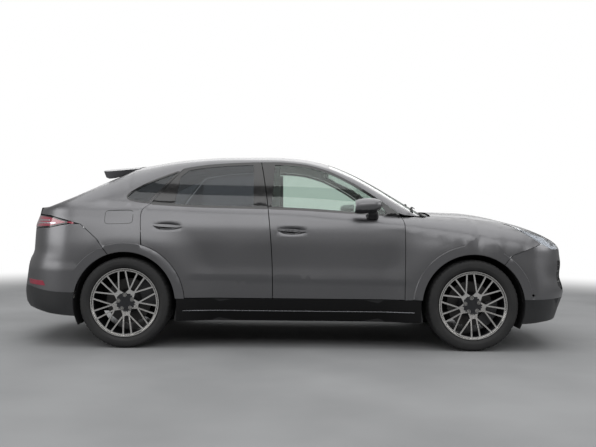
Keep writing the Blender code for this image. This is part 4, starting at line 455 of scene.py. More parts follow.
def tint(tree, shader, source, first, second, low=0.35, high=0.65):
    """Base colour that runs from one colour to another with a texture's value."""
    span = add_node(tree, "ShaderNodeMapRange", {"From Min": low, "From Max": high}, Value=source)
    blend = add_node(tree, "ShaderNodeMix", {"data_type": "RGBA"})
    blend.inputs[6].default_value = linear(first)
    blend.inputs[7].default_value = linear(second)
    tree.links.new(span.outputs["Result"], blend.inputs[0])
    tree.links.new(blend.outputs[2], shader.inputs["Base Color"])


def grain(tree, shader, source, distance, strength=1.0):
    """Bump from a texture, with its real depth."""
    bump = add_node(tree, "ShaderNodeBump", {"Distance": distance, "Strength": strength}, Height=source)
    tree.links.new(bump.outputs["Normal"], shader.inputs["Normal"])


def plain(name, colour, roughness, scale, low, high, **values):
    """A finish of one colour, whose roughness varies a little."""
    made, tree, shader, place = finish(name, colour, roughness, **values)
    vary(tree, shader, place, scale, low, high)
    return made


def glass(name, colour, shade, roughness, low, high, share):
    """Glass that tints the light falling through it, instead of casting a black shadow."""
    made, tree, shader, place = finish(name, colour, roughness, IOR=1.45, Transmission_Weight=share)
    shadow = add_node(tree, "ShaderNodeLightPath")
    through = add_node(tree, "ShaderNodeBsdfTransparent", {"Color": linear(shade)})
    passing = add_node(tree, "ShaderNodeMixShader", {}, Fac=shadow.outputs["Is Shadow Ray"])
    tree.links.new(shader.outputs["BSDF"], passing.inputs[1])
    tree.links.new(through.outputs["BSDF"], passing.inputs[2])
    tree.links.new(passing.outputs["Shader"], tree.nodes["Material Output"].inputs["Surface"])
    vary(tree, shader, place, 3.0, low, high)
    return made


print("helpers ready", linear("808080")[0])

# %% [markdown]
# Metallic paint is a dark base full of tiny aluminium flakes under a smooth clear coat. The flakes
# could be an image, but a Voronoi pattern about a millimetre wide gives the same sparkle at any
# distance: each cell is a little lighter or darker.

# %% Paint and trims
paint, tree, shader, place = finish("satin_grey_metallic_paint", "646466", 0.38, Metallic=0.9,
                                    Coat_Weight=0.35, Coat_Roughness=0.22)
flake = add_node(tree, "ShaderNodeTexVoronoi", {"Scale": 900.0}, Vector=place)
tint(tree, shader, flake.outputs["Color"], "636365", "747476", 0.0, 1.0)
vary(tree, shader, place, 2.5, 0.35, 0.40)

gloss_black = plain("gloss_black_window_trim", "0B0B0C", 0.12, 30.0, 0.09, 0.16, Coat_Weight=0.5)

black_plastic, tree, shader, place = finish("grained_black_plastic", "17181A", 0.5)
pores = add_node(tree, "ShaderNodeTexVoronoi", {"Scale": 700.0}, Vector=place)
grain(tree, shader, pores.outputs["Distance"], 0.0002, 0.5)
vary(tree, shader, place, 6.0, 0.42, 0.58)

# The sill's plastic is a darker, duller black than the other black plastic: painted shade for the shadow
# under the body's side.
sill_plastic_painted_shade = plain("black_sill_plastic_with_painted_shade", "060607", 0.6, 6.0, 0.55, 0.65, Specular_IOR_Level=0.2)
bright_strip = plain("satin_aluminium_strip", "7E7F82", 0.34, 60.0, 0.2, 0.3, Metallic=1.0)
# Black for gaps and rubber, and also the painted shade under the door handles' grips.
gap_black_and_painted_shade = plain("rubber_seal_black_and_painted_shade", "060606", 0.8, 40.0, 0.7, 0.9)
print("body finishes", len(bpy.data.materials))

# %% Glass and lamps
clear_glass = glass("green_tinted_clear_glass", "C9D6CF", "B9C9C0", 0.02, 0.015, 0.035, 1.0)
dark_glass = glass("smoked_rear_glass", "6F7478", "7A7E82", 0.03, 0.02, 0.05, 0.9)

red_lens, tree, shader, place = finish("red_lamp_lens", "8A2A38", 0.08, Coat_Weight=1.0, Coat_Roughness=0.03)
ribs = add_node(tree, "ShaderNodeTexWave", {"Scale": 60.0, "bands_direction": "X"}, Vector=place)
tint(tree, shader, ribs.outputs["Fac"], "7A2030", "A84A5A", 0.0, 1.0)

clear_lens = plain("clear_lamp_lens", "E3E6EA", 0.03, 20.0, 0.02, 0.05, IOR=1.5, Transmission_Weight=0.95)
lamp_silver = plain("lamp_reflector_silver", "D9DCE0", 0.16, 50.0, 0.1, 0.25, Metallic=0.9)
mirror_glass = plain("mirror_glass", "D5DADC", 0.03, 10.0, 0.02, 0.04, Metallic=1.0)
print("glass and lamp finishes made")

# %% [markdown]
# Tyre rubber is not one black, so two blacks are mixed by a slow noise, as dust does. The wheel is
# cast, painted dark and then turned in a lathe, which lays bare only the faces that look outwards,
# so it has two finishes. Brake discs, hubs and bolts have one each.

# %% Wheels, metal and cabin
rubber, tree, shader, place = finish("tyre_rubber", "1C1C1D", 0.78)
dust = vary(tree, shader, place, 9.0, 0.66, 0.86)
tint(tree, shader, dust.outputs["Fac"], "171718", "262626")
fine = add_node(tree, "ShaderNodeTexNoise", {"Scale": 500.0, "Detail": 2.0}, Vector=place)
grain(tree, shader, fine.outputs["Fac"], 0.0002, 0.4)

machined = plain("machined_alloy_face", "DCDAD7", 0.26, 120.0, 0.16, 0.3, Metallic=1.0)
wheel_dark = plain("dark_wheel_paint", "232427", 0.35, 25.0, 0.28, 0.42, Metallic=0.4, Coat_Weight=0.4)
disc_iron = plain("turned_cast_iron", "4C4B4A", 0.45, 150.0, 0.28, 0.5, Metallic=1.0)
caliper_paint = plain("black_caliper_paint", "2A2A2C", 0.4, 40.0, 0.35, 0.5, Coat_Weight=0.3)
steel = plain("brushed_steel", "A8A6A2", 0.3, 45.0, 0.22, 0.42, Metallic=1.0)

leather, tree, shader, place = finish("dark_leather", "26262A", 0.5, Sheen_Weight=0.15)
hide = add_node(tree, "ShaderNodeTexVoronoi", {"Scale": 420.0}, Vector=place)
grain(tree, shader, hide.outputs["Distance"], 0.0004, 0.6)
vary(tree, shader, place, 14.0, 0.42, 0.58)

under_black, tree, shader, place = finish("underbody_black", "101011", 0.75)
speck = vary(tree, shader, place, 18.0, 0.65, 0.9)
tint(tree, shader, speck.outputs["Fac"], "0C0C0D", "18181A")
print("materials", len(bpy.data.materials))

# %% [markdown]
# ## Panels
# A door skin could be modelled by pushing a grid of faces about, but its shut lines would never
# meet the next panel's. So a panel is its outline on the flat map, filled with small triangles,
# lifted to the body, and given an inner face and walls. The same outlines as in the solids are used,
# with a much finer step and with the lines that catch the light added as rows of edges.


# %% Filling an outline
def spline(points, count=6):
    """Smooth line through points."""
    line = [Vector(p) for p in points]
    made = []
    for i in range(len(line) - 1):
        a, b = line[max(0, i - 1)], line[i]
        c, d = line[i + 1], line[min(len(line) - 1, i + 2)]
        for k in range(count):
            t = k / count
            made.append(tuple(0.5 * ((2 * b) + (c - a) * t + (2 * a - 5 * b + 4 * c - d) * t * t
                                     + (3 * b - a - 3 * c + d) * t ** 3)))
    return made + [tuple(line[-1])]


def divided(line, step, closed=True):
    points = []
    count = len(line)
    for i in range(count if closed else count - 1):
        a, b = Vector(line[i]), Vector(line[(i + 1) % count])
        pieces = max(1, math.ceil((b - a).length / step - 0.05))
        points += [tuple(a + (b - a) * (k / pieces)) for k in range(pieces)]
    return points if closed else points + [tuple(line[-1])]


def distances(points, outline):
    """Distance of each flat point from an outline."""
    p, a = np.array(points)[:, None, :], np.array(outline)
    run = np.roll(a, -1, 0) - a
    t = np.clip(((p - a) * run).sum(2) / np.maximum((run ** 2).sum(1), 1e-12), 0, 1)
    return np.sqrt(((a + t[..., None] * run - p) ** 2).sum(2)).min(1)


def within(points, outline):
    """Which flat points lie in an outline."""
    p, a = np.array(points), np.array(outline)
    b = np.roll(a, -1, 0)
    x, y = p[:, 0, None], p[:, 1, None]
    rise = np.where(b[:, 1] == a[:, 1], 1e-12, b[:, 1] - a[:, 1])
    return (((a[:, 1] > y) != (b[:, 1] > y)) & (x < a[:, 0] + (y - a[:, 1]) * (b[:, 0] - a[:, 0]) / rise)
            ).sum(1) % 2 == 1


def triangles(outlines, lines, step):
    """Flat points and faces that fill an outline with holes. The outlines' points come first."""
    flat, edges = [], []
    for outline in outlines:
        start, count = len(flat), len(outline)
        flat += outline
        edges += [(start + k, start + (k + 1) % count) for k in range(count)]
    ring_count = len(flat)

    def kept(points, room):
        good = within(points, outlines[0]) & (distances(points, outlines[0]) > room)
        for hole in outlines[1:]:
            good &= ~within(points, hole) & (distances(points, hole) > room)
        return good

    for line in lines:
        points = divided(line, step, closed=False)
        last = None
        for point, good in zip(points, kept(points, step / 8)):
            if good:
                flat.append(point)
                if last is not None:
                    edges.append((last, len(flat) - 1))
            last = len(flat) - 1 if good else None
    low, high = np.array(outlines[0]).min(0), np.array(outlines[0]).max(0)
    columns, rows = (max(1, round((high[k] - low[k]) / step)) for k in (0, 1))
    grid = [(mix(low[0], high[0], i / columns), mix(low[1], high[1], k / rows))
            for i in range(1, columns) for k in range(1, rows)]
    if grid:
        room = 0.42 * step
        good = kept(grid, room)
        on_lines = np.array(flat[ring_count:])
        for point, fine in zip(grid, good):
            if fine and (not len(on_lines) or np.hypot(*(on_lines - point).T).min() > room):
                flat.append(point)
    made = delaunay_2d_cdt([Vector(p) for p in flat], edges, [], 0, 1e-7)
    index = {k: origins[0] if origins else None for k, origins in enumerate(made[3])}
    faces = [face for face in made[2] if all(index[k] is not None for k in face)]
    centres = [tuple(sum((made[0][k] for k in face), Vector((0, 0))) / 3) for face in faces]
    good = within(centres, outlines[0])
    for hole in outlines[1:]:
        good &= ~within(centres, hole)
    return flat, [[index[k] for k in face] for face, fine in zip(faces, good) if fine]


print("outline filler ready")


# %% Lifting it to the body
def face_out(mesh):
    """Turns all the faces of a closed mesh outwards."""
    form = bmesh.new()
    form.from_mesh(mesh)
    bmesh.ops.recalc_face_normals(form, faces=form.faces)
    form.to_mesh(mesh)
    form.free()


def smooth(piece, angle):
    """Shades a piece smooth where its faces meet at less than an angle in degrees."""
    piece.select_set(True)
    bpy.context.view_layer.objects.active = piece
    bpy.ops.object.shade_smooth_by_angle(angle=math.radians(angle))
    piece.select_set(False)


def finished(name, points, faces, finishes, body, stands_for=(), angle=38.0):
    """A closed mesh as a piece of the car: faces outwards, smooth, on its body."""
    mesh = bpy.data.meshes.new(name)
    mesh.from_pydata([tuple(p) for p in points], [], faces)
    face_out(mesh)
    piece = bpy.data.objects.new(name, mesh)
    bpy.context.scene.collection.objects.link(piece)
    return dressed(piece, finishes, body, stands_for, angle)


def dressed(piece, finishes, body, stands_for=(), angle=38.0):
    """Gives a piece its finishes and its body, and hides the solids that it stands for."""
    for surface in finishes:
        piece.data.materials.append(surface)
    smooth(piece, angle)
    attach(piece, body)
    if stands_for:
        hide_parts(*stands_for)
    return piece


def slab(outlines, faces, count):
    """Faces of a sheet of points, of its back, and of the walls round each outline."""
    solid = [tuple(face) for face in faces] + [tuple(count + k for k in reversed(face)) for face in faces]
    start = 0
    for outline in outlines:
        size = len(outline)
        ring = [(start + k, start + (k + 1) % size) for k in range(size)]
        solid += [(a, b, count + b, count + a) for a, b in ring]
        start += size
    return solid


def panel(name, outline, lift, finishes, body, slot, thickness=SKIN, holes=(), lines=(), step=STEP,
          inward=None, side=1, sink=0.0, draft=0.0, stands_for=(), second=None):
    """Solid panel from a flat outline. second says where the second finish lies, by flat place."""
    outlines = [divided(outline, step)] + [divided(hole, step) for hole in holes]
    flat, faces = triangles(outlines, lines, step)
    points, inner = [], []
    ring = inset(outlines[0], 1.0) if draft else None
    for k, (u, v) in enumerate(flat):
        way = inward(u, v) if callable(inward) else inward
        recess = sink(u, v) if callable(sink) else sink
        depth = thickness(u, v) if callable(thickness) else thickness
        points.append(lift(u, v) + way * recess)
        moved = (u, v)
        if draft and k < len(outlines[0]):
            amount = draft(u, v) if callable(draft) else draft
            moved = (mix(u, ring[k][0], amount), mix(v, ring[k][1], amount))
        inner.append(lift(*moved) + way * (recess + depth))
    count = len(flat)
    points = [Vector((p.x, side * p.y, p.z)) for p in points + inner]
    piece = finished(name, points, slab(outlines, faces, count), finishes, body, stands_for)
    if second:
        for face in piece.data.polygons:
            places = [flat[k % count] for k in face.vertices]
            u, v = (sum(p[i] for p in places) / len(places) for i in (0, 1))
            face.material_index = 1 if second(u, v) else 0
    return piece


def signed_area(outline):
    """Twice the area of a flat outline, below zero where it runs clockwise."""
    return sum(outline[i - 1][0] * outline[i][1] - outline[i][0] * outline[i - 1][1]
               for i in range(len(outline)))


def inset(outline, amount):
    """Outline with each point moved in by an amount, square to its neighbours."""
    turn = 1.0 if signed_area(outline) > 0 else -1.0
    moved = []
    for i, here in enumerate(outline):
        here = Vector(here)
        one = (here - Vector(outline[i - 1])).normalized()
        two = (Vector(outline[(i + 1) % len(outline)]) - here).normalized()
        both = (Vector((-one.y, one.x)) + Vector((-two.y, two.x))) * turn
        moved.append(tuple(here + both * (amount * 2 / max(both.length_squared, 0.6))))
    return moved


def arc(centre, radius, start, end, step=4.0):
    count = max(1, round(abs(end - start) / step))
    angles = [math.radians(mix(start, end, k / count)) for k in range(count + 1)]
    return [(centre[0] + radius * math.cos(t), centre[1] + radius * math.sin(t)) for t in angles]


def places(shares):
    return [(station_x(station), HEIGHT * height) for station, height in shares]


def arch(front, radius, start, end, step=4.0):
    return arc((FRONT_X, FRONT_TYRE) if front else (REAR_X, REAR_TYRE), radius, start, end, step)


def foot_angle(front, radius, z):
    return math.degrees(math.asin((z - (FRONT_TYRE if front else REAR_TYRE)) / radius))


def shifted(points, amount):
    return [(x + amount, z) for x, z in points]


def mirrored(half, shared=0):
    """Half an outline and its mirror image, where its last shared points lie on the middle line."""
    return half + [(x, -y) for x, y in reversed(half[:len(half) - shared])]


INTO_CABIN, DOWN = Vector((0, -1, 0)), Vector((0, 0, -1))
PANE, PANE_SINK = 0.005, 0.004


def pane(name, hole, lift, kind, body, slot, solid, inward=INTO_CABIN, side=1):
    """Glass in a hole, a little under the skin round it."""
    return panel(name, inset(divided(hole, STEP), SEAT), lift, (kind,), body, slot, PANE, inward=inward,
                 side=side, sink=PANE_SINK, stands_for=(solid,))


print("panel maker ready")

# %% [markdown]
# ## Doors
# The cut lines are drawn once, and both neighbours stand half a gap away from them. Under the belt
# the door is painted, above it the window frame is gloss black. A crease runs along the foot: below
# it the skin turns in and mirrors the floor instead of the lamps, which gives a hard light edge.
# The handles sit over shallow bowls that are pressed into the skin.

# %% Cut lines
front_cut = spline(places(((0.803, 0.255), (0.804, 0.445), (0.803, 0.614), (0.796, 0.668))))
middle_cut = spline(places(((0.3842, 0.947), (0.3928, 0.870), (0.4007, 0.790), (0.4078, 0.705),
                            (0.4136, 0.619), (0.4187, 0.520), (0.4219, 0.428), (0.4235, 0.340),
                            (0.4237, 0.255))))
rear_cut = spline(places(((0.152, 0.905), (0.135, 0.870), (0.104, 0.807), (0.064, 0.723), (0.048, 0.700),
                          (0.041, 0.666), (0.044, 0.590))))
DOOR_FOOT, SILL_TOP = HEIGHT * 0.255, HEIGHT * 0.251
# The crease runs from one height and place at the rear to another in front, and its slope is short.
CREASE_DEPTH, CREASE_SLOPE = 0.011, 0.020
CREASE_REAR, CREASE_FRONT = (-0.95, 0.602), (0.90, 0.566)
FRAME_WIDTH, GLASS_FOOT = 0.024, 0.012


def frame_line(start, end, rise, step=0.012):
    count = max(1, math.ceil(abs(end - start) / step))
    xs = [station_x(mix(start, end, k / count)) for k in range(count + 1)]
    return [(x, frame_top(x) + rise) for x in xs]


def glass_line(sill_rear, sill_front, count, top_front, top_rear):
    """Edge of a door's glass: along the belt, then back under the window frame."""
    sill = [station_x(mix(sill_rear, sill_front, k / count)) for k in range(count + 1)]
    return ([(x, belt_height(x) + GLASS_FOOT) for x in sill]
            + [(x, z - FRAME_WIDTH) for x, z in frame_line(top_front, top_rear, 0.0)])


front_door = front_cut + frame_line(0.787, 0.388, 0.0) + shifted(middle_cut, DOOR_GAP / 2)
rear_door = list(reversed(shifted(middle_cut, -DOOR_GAP / 2))) + frame_line(0.383, 0.160, 0.0) + rear_cut
door_arch = REAR_ARCH + LIP + GAP
rear_door += arch(False, door_arch, 74.0, foot_angle(False, door_arch, DOOR_FOOT))
front_glass = glass_line(0.418, 0.755, 12, 0.735, 0.425)
rear_glass = glass_line(0.135, 0.365, 8, 0.362, 0.170) + [(station_x(0.147), HEIGHT * 0.865)]
print("door outlines", len(front_door), len(rear_door))


# %% Crease, belt and handle bowls
def crease_height(x):
    (rear, rear_z), (front, front_z) = CREASE_REAR, CREASE_FRONT
    return mix(rear_z, front_z, (x - rear) / (front - rear))


def crease_sink(x, z):
    """How far the skin turns in below the crease."""
    drop = crease_height(x) - z
    rear, front = REAR_X + REAR_ARCH + LIP, FRONT_X - FRONT_ARCH - LIP
    ends = ease(x, rear - 0.02, rear + 0.16) * (1 - ease(x, front - 0.08, front + 0.01))
    slope = min(1.0, max(0.0, drop / CREASE_SLOPE))
    return CREASE_DEPTH * ends * slope * (1 - 0.45 * ease(drop, CREASE_SLOPE, 0.17))


handle_places = {"front": (-0.015, 0.985), "rear": (-1.055, 1.014)}
BOWL_LENGTH, BOWL_HEIGHT, BOWL_DEPTH = 0.132, 0.033, 0.017


def bowl(place, share):
    return [(place[0] + BOWL_LENGTH * share * math.cos(t), place[1] + BOWL_HEIGHT * share * math.sin(t))
            for t in (math.radians(10 * k) for k in range(37))]


def door_sink(end):
    place = handle_places[end]

    def sink(x, z):
        reach = math.hypot((x - place[0]) / BOWL_LENGTH, (z - place[1]) / BOWL_HEIGHT)
        return crease_sink(x, z) + BOWL_DEPTH * (1 - ease(reach, 0.35, 1.0))
    return sink


DOOR_DEPTH, WINDOW_FRAME_DEPTH, DEPTH_FADE, PANEL_DRAFT = 0.110, 0.034, 0.068, 0.012
TRIM_TOP = 0.010


def door_depth(x, z):
    belt = belt_height(x)
    return mix(DOOR_DEPTH, WINDOW_FRAME_DEPTH, ease(z, belt - DEPTH_FADE, belt))


def door_draft(x, z):
    return PANEL_DRAFT if z > DOOR_FOOT + GAP else 0.0


def belt_line(low, high, drop):
    xs = [mix(low, high, k / 40) for k in range(41)]
    return [(x, belt_height(x) - drop) for x in xs]


def crease_lines():
    xs = [mix(-1.1, 1.0, k / 50) for k in range(51)]
    return [[(x, crease_height(x) - drop) for x in xs] for drop in (0.0, CREASE_SLOPE)]


def over_belt(x, z):
    return z > belt_height(x) - TRIM_TOP


doors = {}
for side, hand in HANDS:
    for end, outline, hole in (("front", front_door, front_glass), ("rear", rear_door, rear_glass)):
        lines = crease_lines() + [belt_line(-1.4, 1.0, TRIM_TOP)]
        lines += [bowl(handle_places[end], share) for share in (1.0, 0.8, 0.6, 0.4, 0.2)]
        body = end + "_door_" + hand
        doors[body] = panel(body + "_skin", outline, side_map, (paint, gloss_black), body, "car_paint",
                            door_depth, holes=[hole], lines=lines, inward=INTO_CABIN, side=side,
                            sink=door_sink(end), draft=door_draft,
                            stands_for=("door_" + end + "_" + hand,), second=over_belt)
        kind, slot = (clear_glass, "clear_glass") if end == "front" else (dark_glass, "tinted_glass")
        pane(body + "_pane", hole, side_map, kind, body, slot, "glass_" + end + "_" + hand, side=side)
print("door triangles", sum(len(door.data.polygons) for door in doors.values()))

# %% [markdown]
# ## Side frames, wings and roof
# One panel per side runs from the windscreen's foot over the doors to the tail lamp, as on the real
# car, where it is a single pressing. The wheel arch's lip is a step in the skin, so two rows of edges
# follow its circle.

# %% Outlines of the side frame
edge_stations = [-0.76, -0.71, -0.66, -0.61, -0.56, -0.51, -0.46, -0.41, -0.36, -0.31, -0.26, -0.215,
                 -0.17, -0.125, -0.08, -0.035] + [mix(ROOF_REAR, SCREEN_FOOT, k / 60) for k in range(61)]
quarter = spline(places(((0.058, 0.733), (0.095, 0.805), (0.124, 0.864), (0.138, 0.889))))[:-1]
quarter += spline(places(((0.138, 0.889), (0.118, 0.875), (0.062, 0.834), (0.018, 0.792),
                          (-0.008, 0.762), (0.012, 0.745), (0.058, 0.733))))[:-1]
bumper_cut = places(((-0.223, 0.547), (-0.355, 0.618)))
lamp_line = places(((-0.400, 0.6255), (-0.50, 0.642), (-0.62, 0.660), (-0.76, 0.668)))


def stations_between(start, end):
    inner = [s for s in edge_stations if start + 0.001 < s < end - 0.001]
    return [start] + inner + [end]


side_frame = frame_line(SCREEN_FOOT, 0.156, GAP)
side_frame.append((rear_cut[0][0] - GAP, rear_cut[0][1] + GAP / 2))
side_frame += shifted(rear_cut[1:], -GAP)
side_frame += arch(False, REAR_ARCH + LIP, 75.0, foot_angle(False, REAR_ARCH + LIP, SILL_TOP))
side_frame += arch(False, REAR_ARCH, foot_angle(False, REAR_ARCH, SILL_TOP), 109.0)
side_frame += bumper_cut + lamp_line[1:]
side_frame += [(station_x(s), frame_top(station_x(s)) + BAND)
               for s in stations_between(TAIL_END, SCREEN_FOOT)]
FRAME_THICK, FRAME_TILT = 0.013, 1.050
QUARTER_STEP, QUARTER_TRIM, TRIM_THICK, TRIM_RISE = 0.02, 0.013, 0.003, 0.002


def lip_lines(front, start=-20, end=200, step=2.0):
    """The rows of edges at the two sides of an arch lip's step."""
    radius = (FRONT_ARCH if front else REAR_ARCH) + LIP
    return [arch(front, radius + shift, start, end, step) for shift in LIP_ROWS]


def frame_draft(x, w):
    return PANEL_DRAFT if w > frame_top(x) + BAND / 2 or x < station_x(-0.30) else 0.0


def into_frame(x, w):
    """Straight in at the doors, nearly straight down at the roof."""
    tilt = FRAME_TILT * ease(w, frame_top(x), frame_top(x) + BAND)
    return Vector((0, -math.cos(tilt), -math.sin(tilt)))


for side, hand in HANDS:
    panel("side_frame_" + hand, side_frame, side_map, (paint,), "shell", "car_paint", FRAME_THICK,
          holes=[quarter], lines=lip_lines(False) + [belt_line(-2.4, -1.2, 0.0)], inward=into_frame,
          side=side, draft=frame_draft, stands_for=("body_side_" + hand,))
    pane("quarter_pane_" + hand, quarter, side_map, dark_glass, "shell", "tinted_glass",
         "quarter_glass_" + hand, side=side)
    rim = divided(quarter, QUARTER_STEP)
    panel("quarter_trim_" + hand, inset(rim, -QUARTER_TRIM), side_map, (gloss_black,), "shell",
          "black_trim", TRIM_THICK, holes=[rim], inward=INTO_CABIN, side=side, sink=-TRIM_RISE,
          step=QUARTER_STEP)
print("side frame points", len(side_frame))

# %% Wings
lamp_top_shares = ((1.371, 0.633), (1.45, 0.615), (1.551, 0.594), (1.657, 0.573), (1.76, 0.551),
                   (1.84, 0.531))
lamp_foot_shares = ((1.875, 0.512), (1.79, 0.511), (1.690, 0.516), (1.594, 0.543), (1.48, 0.590))
lamp_top, lamp_foot = spline(places(lamp_top_shares), 3), spline(places(lamp_foot_shares), 3)
front_bumper_cut = places(((1.327, 0.482), (1.590, 0.541)))
bonnet_side_shares = ((0.888, 0.760), (1.10, 0.758), (1.30, 0.728), (1.371, 0.713))
bonnet_nose_shares = ((1.866, 0.500), (1.886, 0.350), (1.896, 0.180), (1.899, 0.0))
bonnet_nose = spline([(station_x(s), HALF_WIDTH * share) for s, share in bonnet_nose_shares], 4)
WING_FOOT = SILL_TOP + 0.006
BONNET_REAR, LAMP_REAR, LAMP_TIP = 0.888, 1.371, 1.84


def bonnet_half_width(x):
    station = x_station(x)
    if station < LAMP_REAR:
        return HALF_WIDTH * table(bonnet_side_shares, station)
    return front_skin(x, HEIGHT * table(lamp_top_shares, station)).y


def on_wing(points):
    return [(x, wing_height(x, z)) for x, z in points]


wing = [(station_x(0.803) + GAP, WING_FOOT)] + on_wing(shifted(front_cut, GAP))
for station in (0.812, 0.826, 0.84, 0.854, SCREEN_FOOT):
    x = station_x(station)
    wing.append((x, wing_place(x, frame_foot(x).y + GAP)))
for station in [mix(BONNET_REAR, 1.30, k / 14) for k in range(15)]:
    x = station_x(station)
    wing.append((x, wing_place(x, bonnet_half_width(x) + GAP / 2)))
wing += on_wing(places(((1.362, 0.629), (1.418, 0.607), (1.474, 0.585), (1.53, 0.563), (1.585, 0.5415))))
wing += on_wing(divided(list(reversed(front_bumper_cut)), 0.03, closed=False)[1:])
wing += on_wing(arch(True, FRONT_ARCH, 54.0, 180 - foot_angle(True, FRONT_ARCH, WING_FOOT)))
for side, hand in HANDS:
    panel("front_wing_" + hand, wing, wing_map, (paint,), "shell", "car_paint",
          lines=lip_lines(True) + crease_lines(), inward=Vector((0, -0.85, -0.53)), side=side,
          sink=crease_sink, stands_for=("wing_" + hand,))
print("wing points", len(wing))


# %% Roof, windscreen and bonnet
def top_outline(rear, front, trim):
    half = []
    for station in stations_between(rear, front):
        x = station_x(station)
        y = edge_point(x).y - 2 * SEAT - GAP * ease(station, 0.79, SCREEN_FOOT)
        half.append((x + trim if station == rear else x, y))
    return mirrored(half)


SCREEN_THICK, SCREEN_BORDER = 0.010, 0.035
ROOF_DRAFT, BONNET_DRAFT = 0.030, 0.032


def on_border(x, y):
    """The black printed border of the windscreen."""
    return abs(y) > edge_point(x).y - SCREEN_BORDER or not 0.598 <= x_station(x) <= 0.855


panel("roof_skin", top_outline(ROOF_REAR, SCREEN_TOP, 0.0), roof_skin, (paint,), "shell", "car_paint",
      2 * SKIN, inward=DOWN, step=0.05, draft=ROOF_DRAFT, stands_for=("roof",))
panel("windscreen_pane", top_outline(SCREEN_TOP, SCREEN_FOOT, SEAT), roof_skin, (clear_glass, gloss_black),
      "shell", "clear_glass", SCREEN_THICK, inward=DOWN, step=0.04, draft=ROOF_DRAFT,
      stands_for=("windscreen",), second=on_border)
half = []
for station in ([mix(BONNET_REAR, LAMP_REAR, k / 16) for k in range(16)]
                + [mix(LAMP_REAR, LAMP_TIP, k / 16) for k in range(17)]):
    x = station_x(station)
    half.append((x, bonnet_half_width(x) - GAP / 2))
half += bonnet_nose
# Dome on the bonnet: its edge runs from one place to another, both as x and half width.
DOME_REAR, DOME_FRONT, DOME_RISE = (1.25, 0.42), (2.28, 0.29), 0.006
fold = [[(x, hand * y) for x, y in (DOME_REAR, (1.55, 0.40), (1.85, 0.36), (2.10, 0.32), DOME_FRONT)]
        for hand in (1, -1)]


def bonnet_sink(x, y):
    """A wide power dome: the middle stands a few millimetres over the sides."""
    edge = mix(DOME_REAR[1], DOME_FRONT[1], (x - DOME_REAR[0]) / 1.03)
    fade = ease(x, 1.15, 1.35) * (1 - ease(x, 2.10, DOME_FRONT[0]))
    low = ease(abs(y), edge, edge + 0.05) * (1 - ease(abs(y), edge + 0.10, edge + 0.25))
    return DOME_RISE * fade * low


panel("bonnet_skin", mirrored(half, 1), bonnet_skin, (paint,), "bonnet_lid", "car_paint", 2 * SKIN,
      lines=fold, inward=DOWN, step=0.035, draft=BONNET_DRAFT, sink=bonnet_sink, stands_for=("bonnet",))
print("roof, screen and bonnet made")

# %% [markdown]
# ## Front end
# The bumper wraps round both corners, so it is drawn on a map that is unrolled round the nose. The
# air intakes are holes in it with a black insert behind, and the slats in them are thin blades that
# follow the same curve.

# %% Nose outlines
NOSE_CENTRE, TAIL_CENTRE = Vector((1.650, 0, 0.500)), Vector((-1.650, 0, 0.500))


def into_nose(a, z):
    return (NOSE_CENTRE - nose_map(a, z)).normalized()


def into_tail(a, z):
    return (TAIL_CENTRE - tail_map(a, z)).normalized()


def on_nose(points):
    return [(nose_place(x, z), z) for x, z in points]


def on_tail(points):
    return [(tail_place(x, z), z) for x, z in points]


def both_ways(half):
    return half + [(-a, z) for a, z in reversed(half) if a > SEAT]


BUMPER_FOOT = HEIGHT * 0.262
half = [(0.0, BUMPER_FOOT), (nose_place(station_x(1.75), BUMPER_FOOT), BUMPER_FOOT)]
half += on_nose(arch(True, FRONT_ARCH, foot_angle(True, FRONT_ARCH, BUMPER_FOOT), 53.4))
half += on_nose([(x + GAP, z - GAP / 2) for x, z in divided(front_bumper_cut, 0.03, closed=False)])
half += on_nose([(x, z - GAP / 2) for x, z in reversed(lamp_foot[:7])])
for x, y in bonnet_nose:
    z = bonnet_skin(x + GAP, y).z
    half.append((nose_place(x + GAP, z) if y else 0.0, z))
front_bumper = both_ways(half)
# Intakes, on the nose's map: their lower and upper edge, where the outer one starts and ends, and how
# far its corners are cut.
low, high = HEIGHT * 0.298, HEIGHT * 0.452
end = nose_place(station_x(1.800), low)
strut, MIDDLE_HALF, CORNER, OUTER_CORNER = 0.415, 0.325, 0.045, 0.09
middle_intake = both_ways([(0.0, low), (MIDDLE_HALF, low), (MIDDLE_HALF + CORNER, high), (0.0, high)])
outer_intake = [(strut, low), (end - OUTER_CORNER, low), (end, low + CORNER), (end, high),
                (strut + CORNER, high)]
intakes = [middle_intake, outer_intake, [(-a, z) for a, z in reversed(outer_intake)]]
edge = BUMPER_FOOT - 2 * SEAT
print("intake reaches", round(end, 3))


def nose_panel(name, outline, surface, slot, thickness, **more):
    """Panel that follows the nose."""
    return panel(name, outline, nose_map, (surface,), "shell", slot, thickness, inward=into_nose, **more)


# %% Bumper, apron and grille
crease = [(a, HEIGHT * 0.285) for a in (-1.2, -0.6, 0.0, 0.6, 1.2)]
lips = [[(hand * nose_place(x, z), z) for x, z in line] for hand in (1, -1)
        for line in lip_lines(True, -15, 60, 3.0)]
nose_panel("front_bumper_skin", front_bumper, paint, "car_paint", SKIN, holes=intakes,
           lines=[crease] + lips, step=0.032, stands_for=("front_bumper",))
APRON_FOOT, APRON_SINK = HEIGHT * 0.150, 0.028
apron = [(0.0, APRON_FOOT), (nose_place(station_x(1.60), APRON_FOOT), APRON_FOOT)]
apron += on_nose(arch(True, FRONT_ARCH, foot_angle(True, FRONT_ARCH, HEIGHT * 0.141),
                      foot_angle(True, FRONT_ARCH, edge)))
apron += [(end + CORNER, edge), (end + CORNER, high + CORNER), (0.0, high + CORNER)]


def apron_sink(a, z):
    """Over the bumper's foot the apron steps back behind the intakes."""
    return APRON_SINK if z > edge - 0.0005 and abs(a) < end + 0.001 + CORNER else 0.0


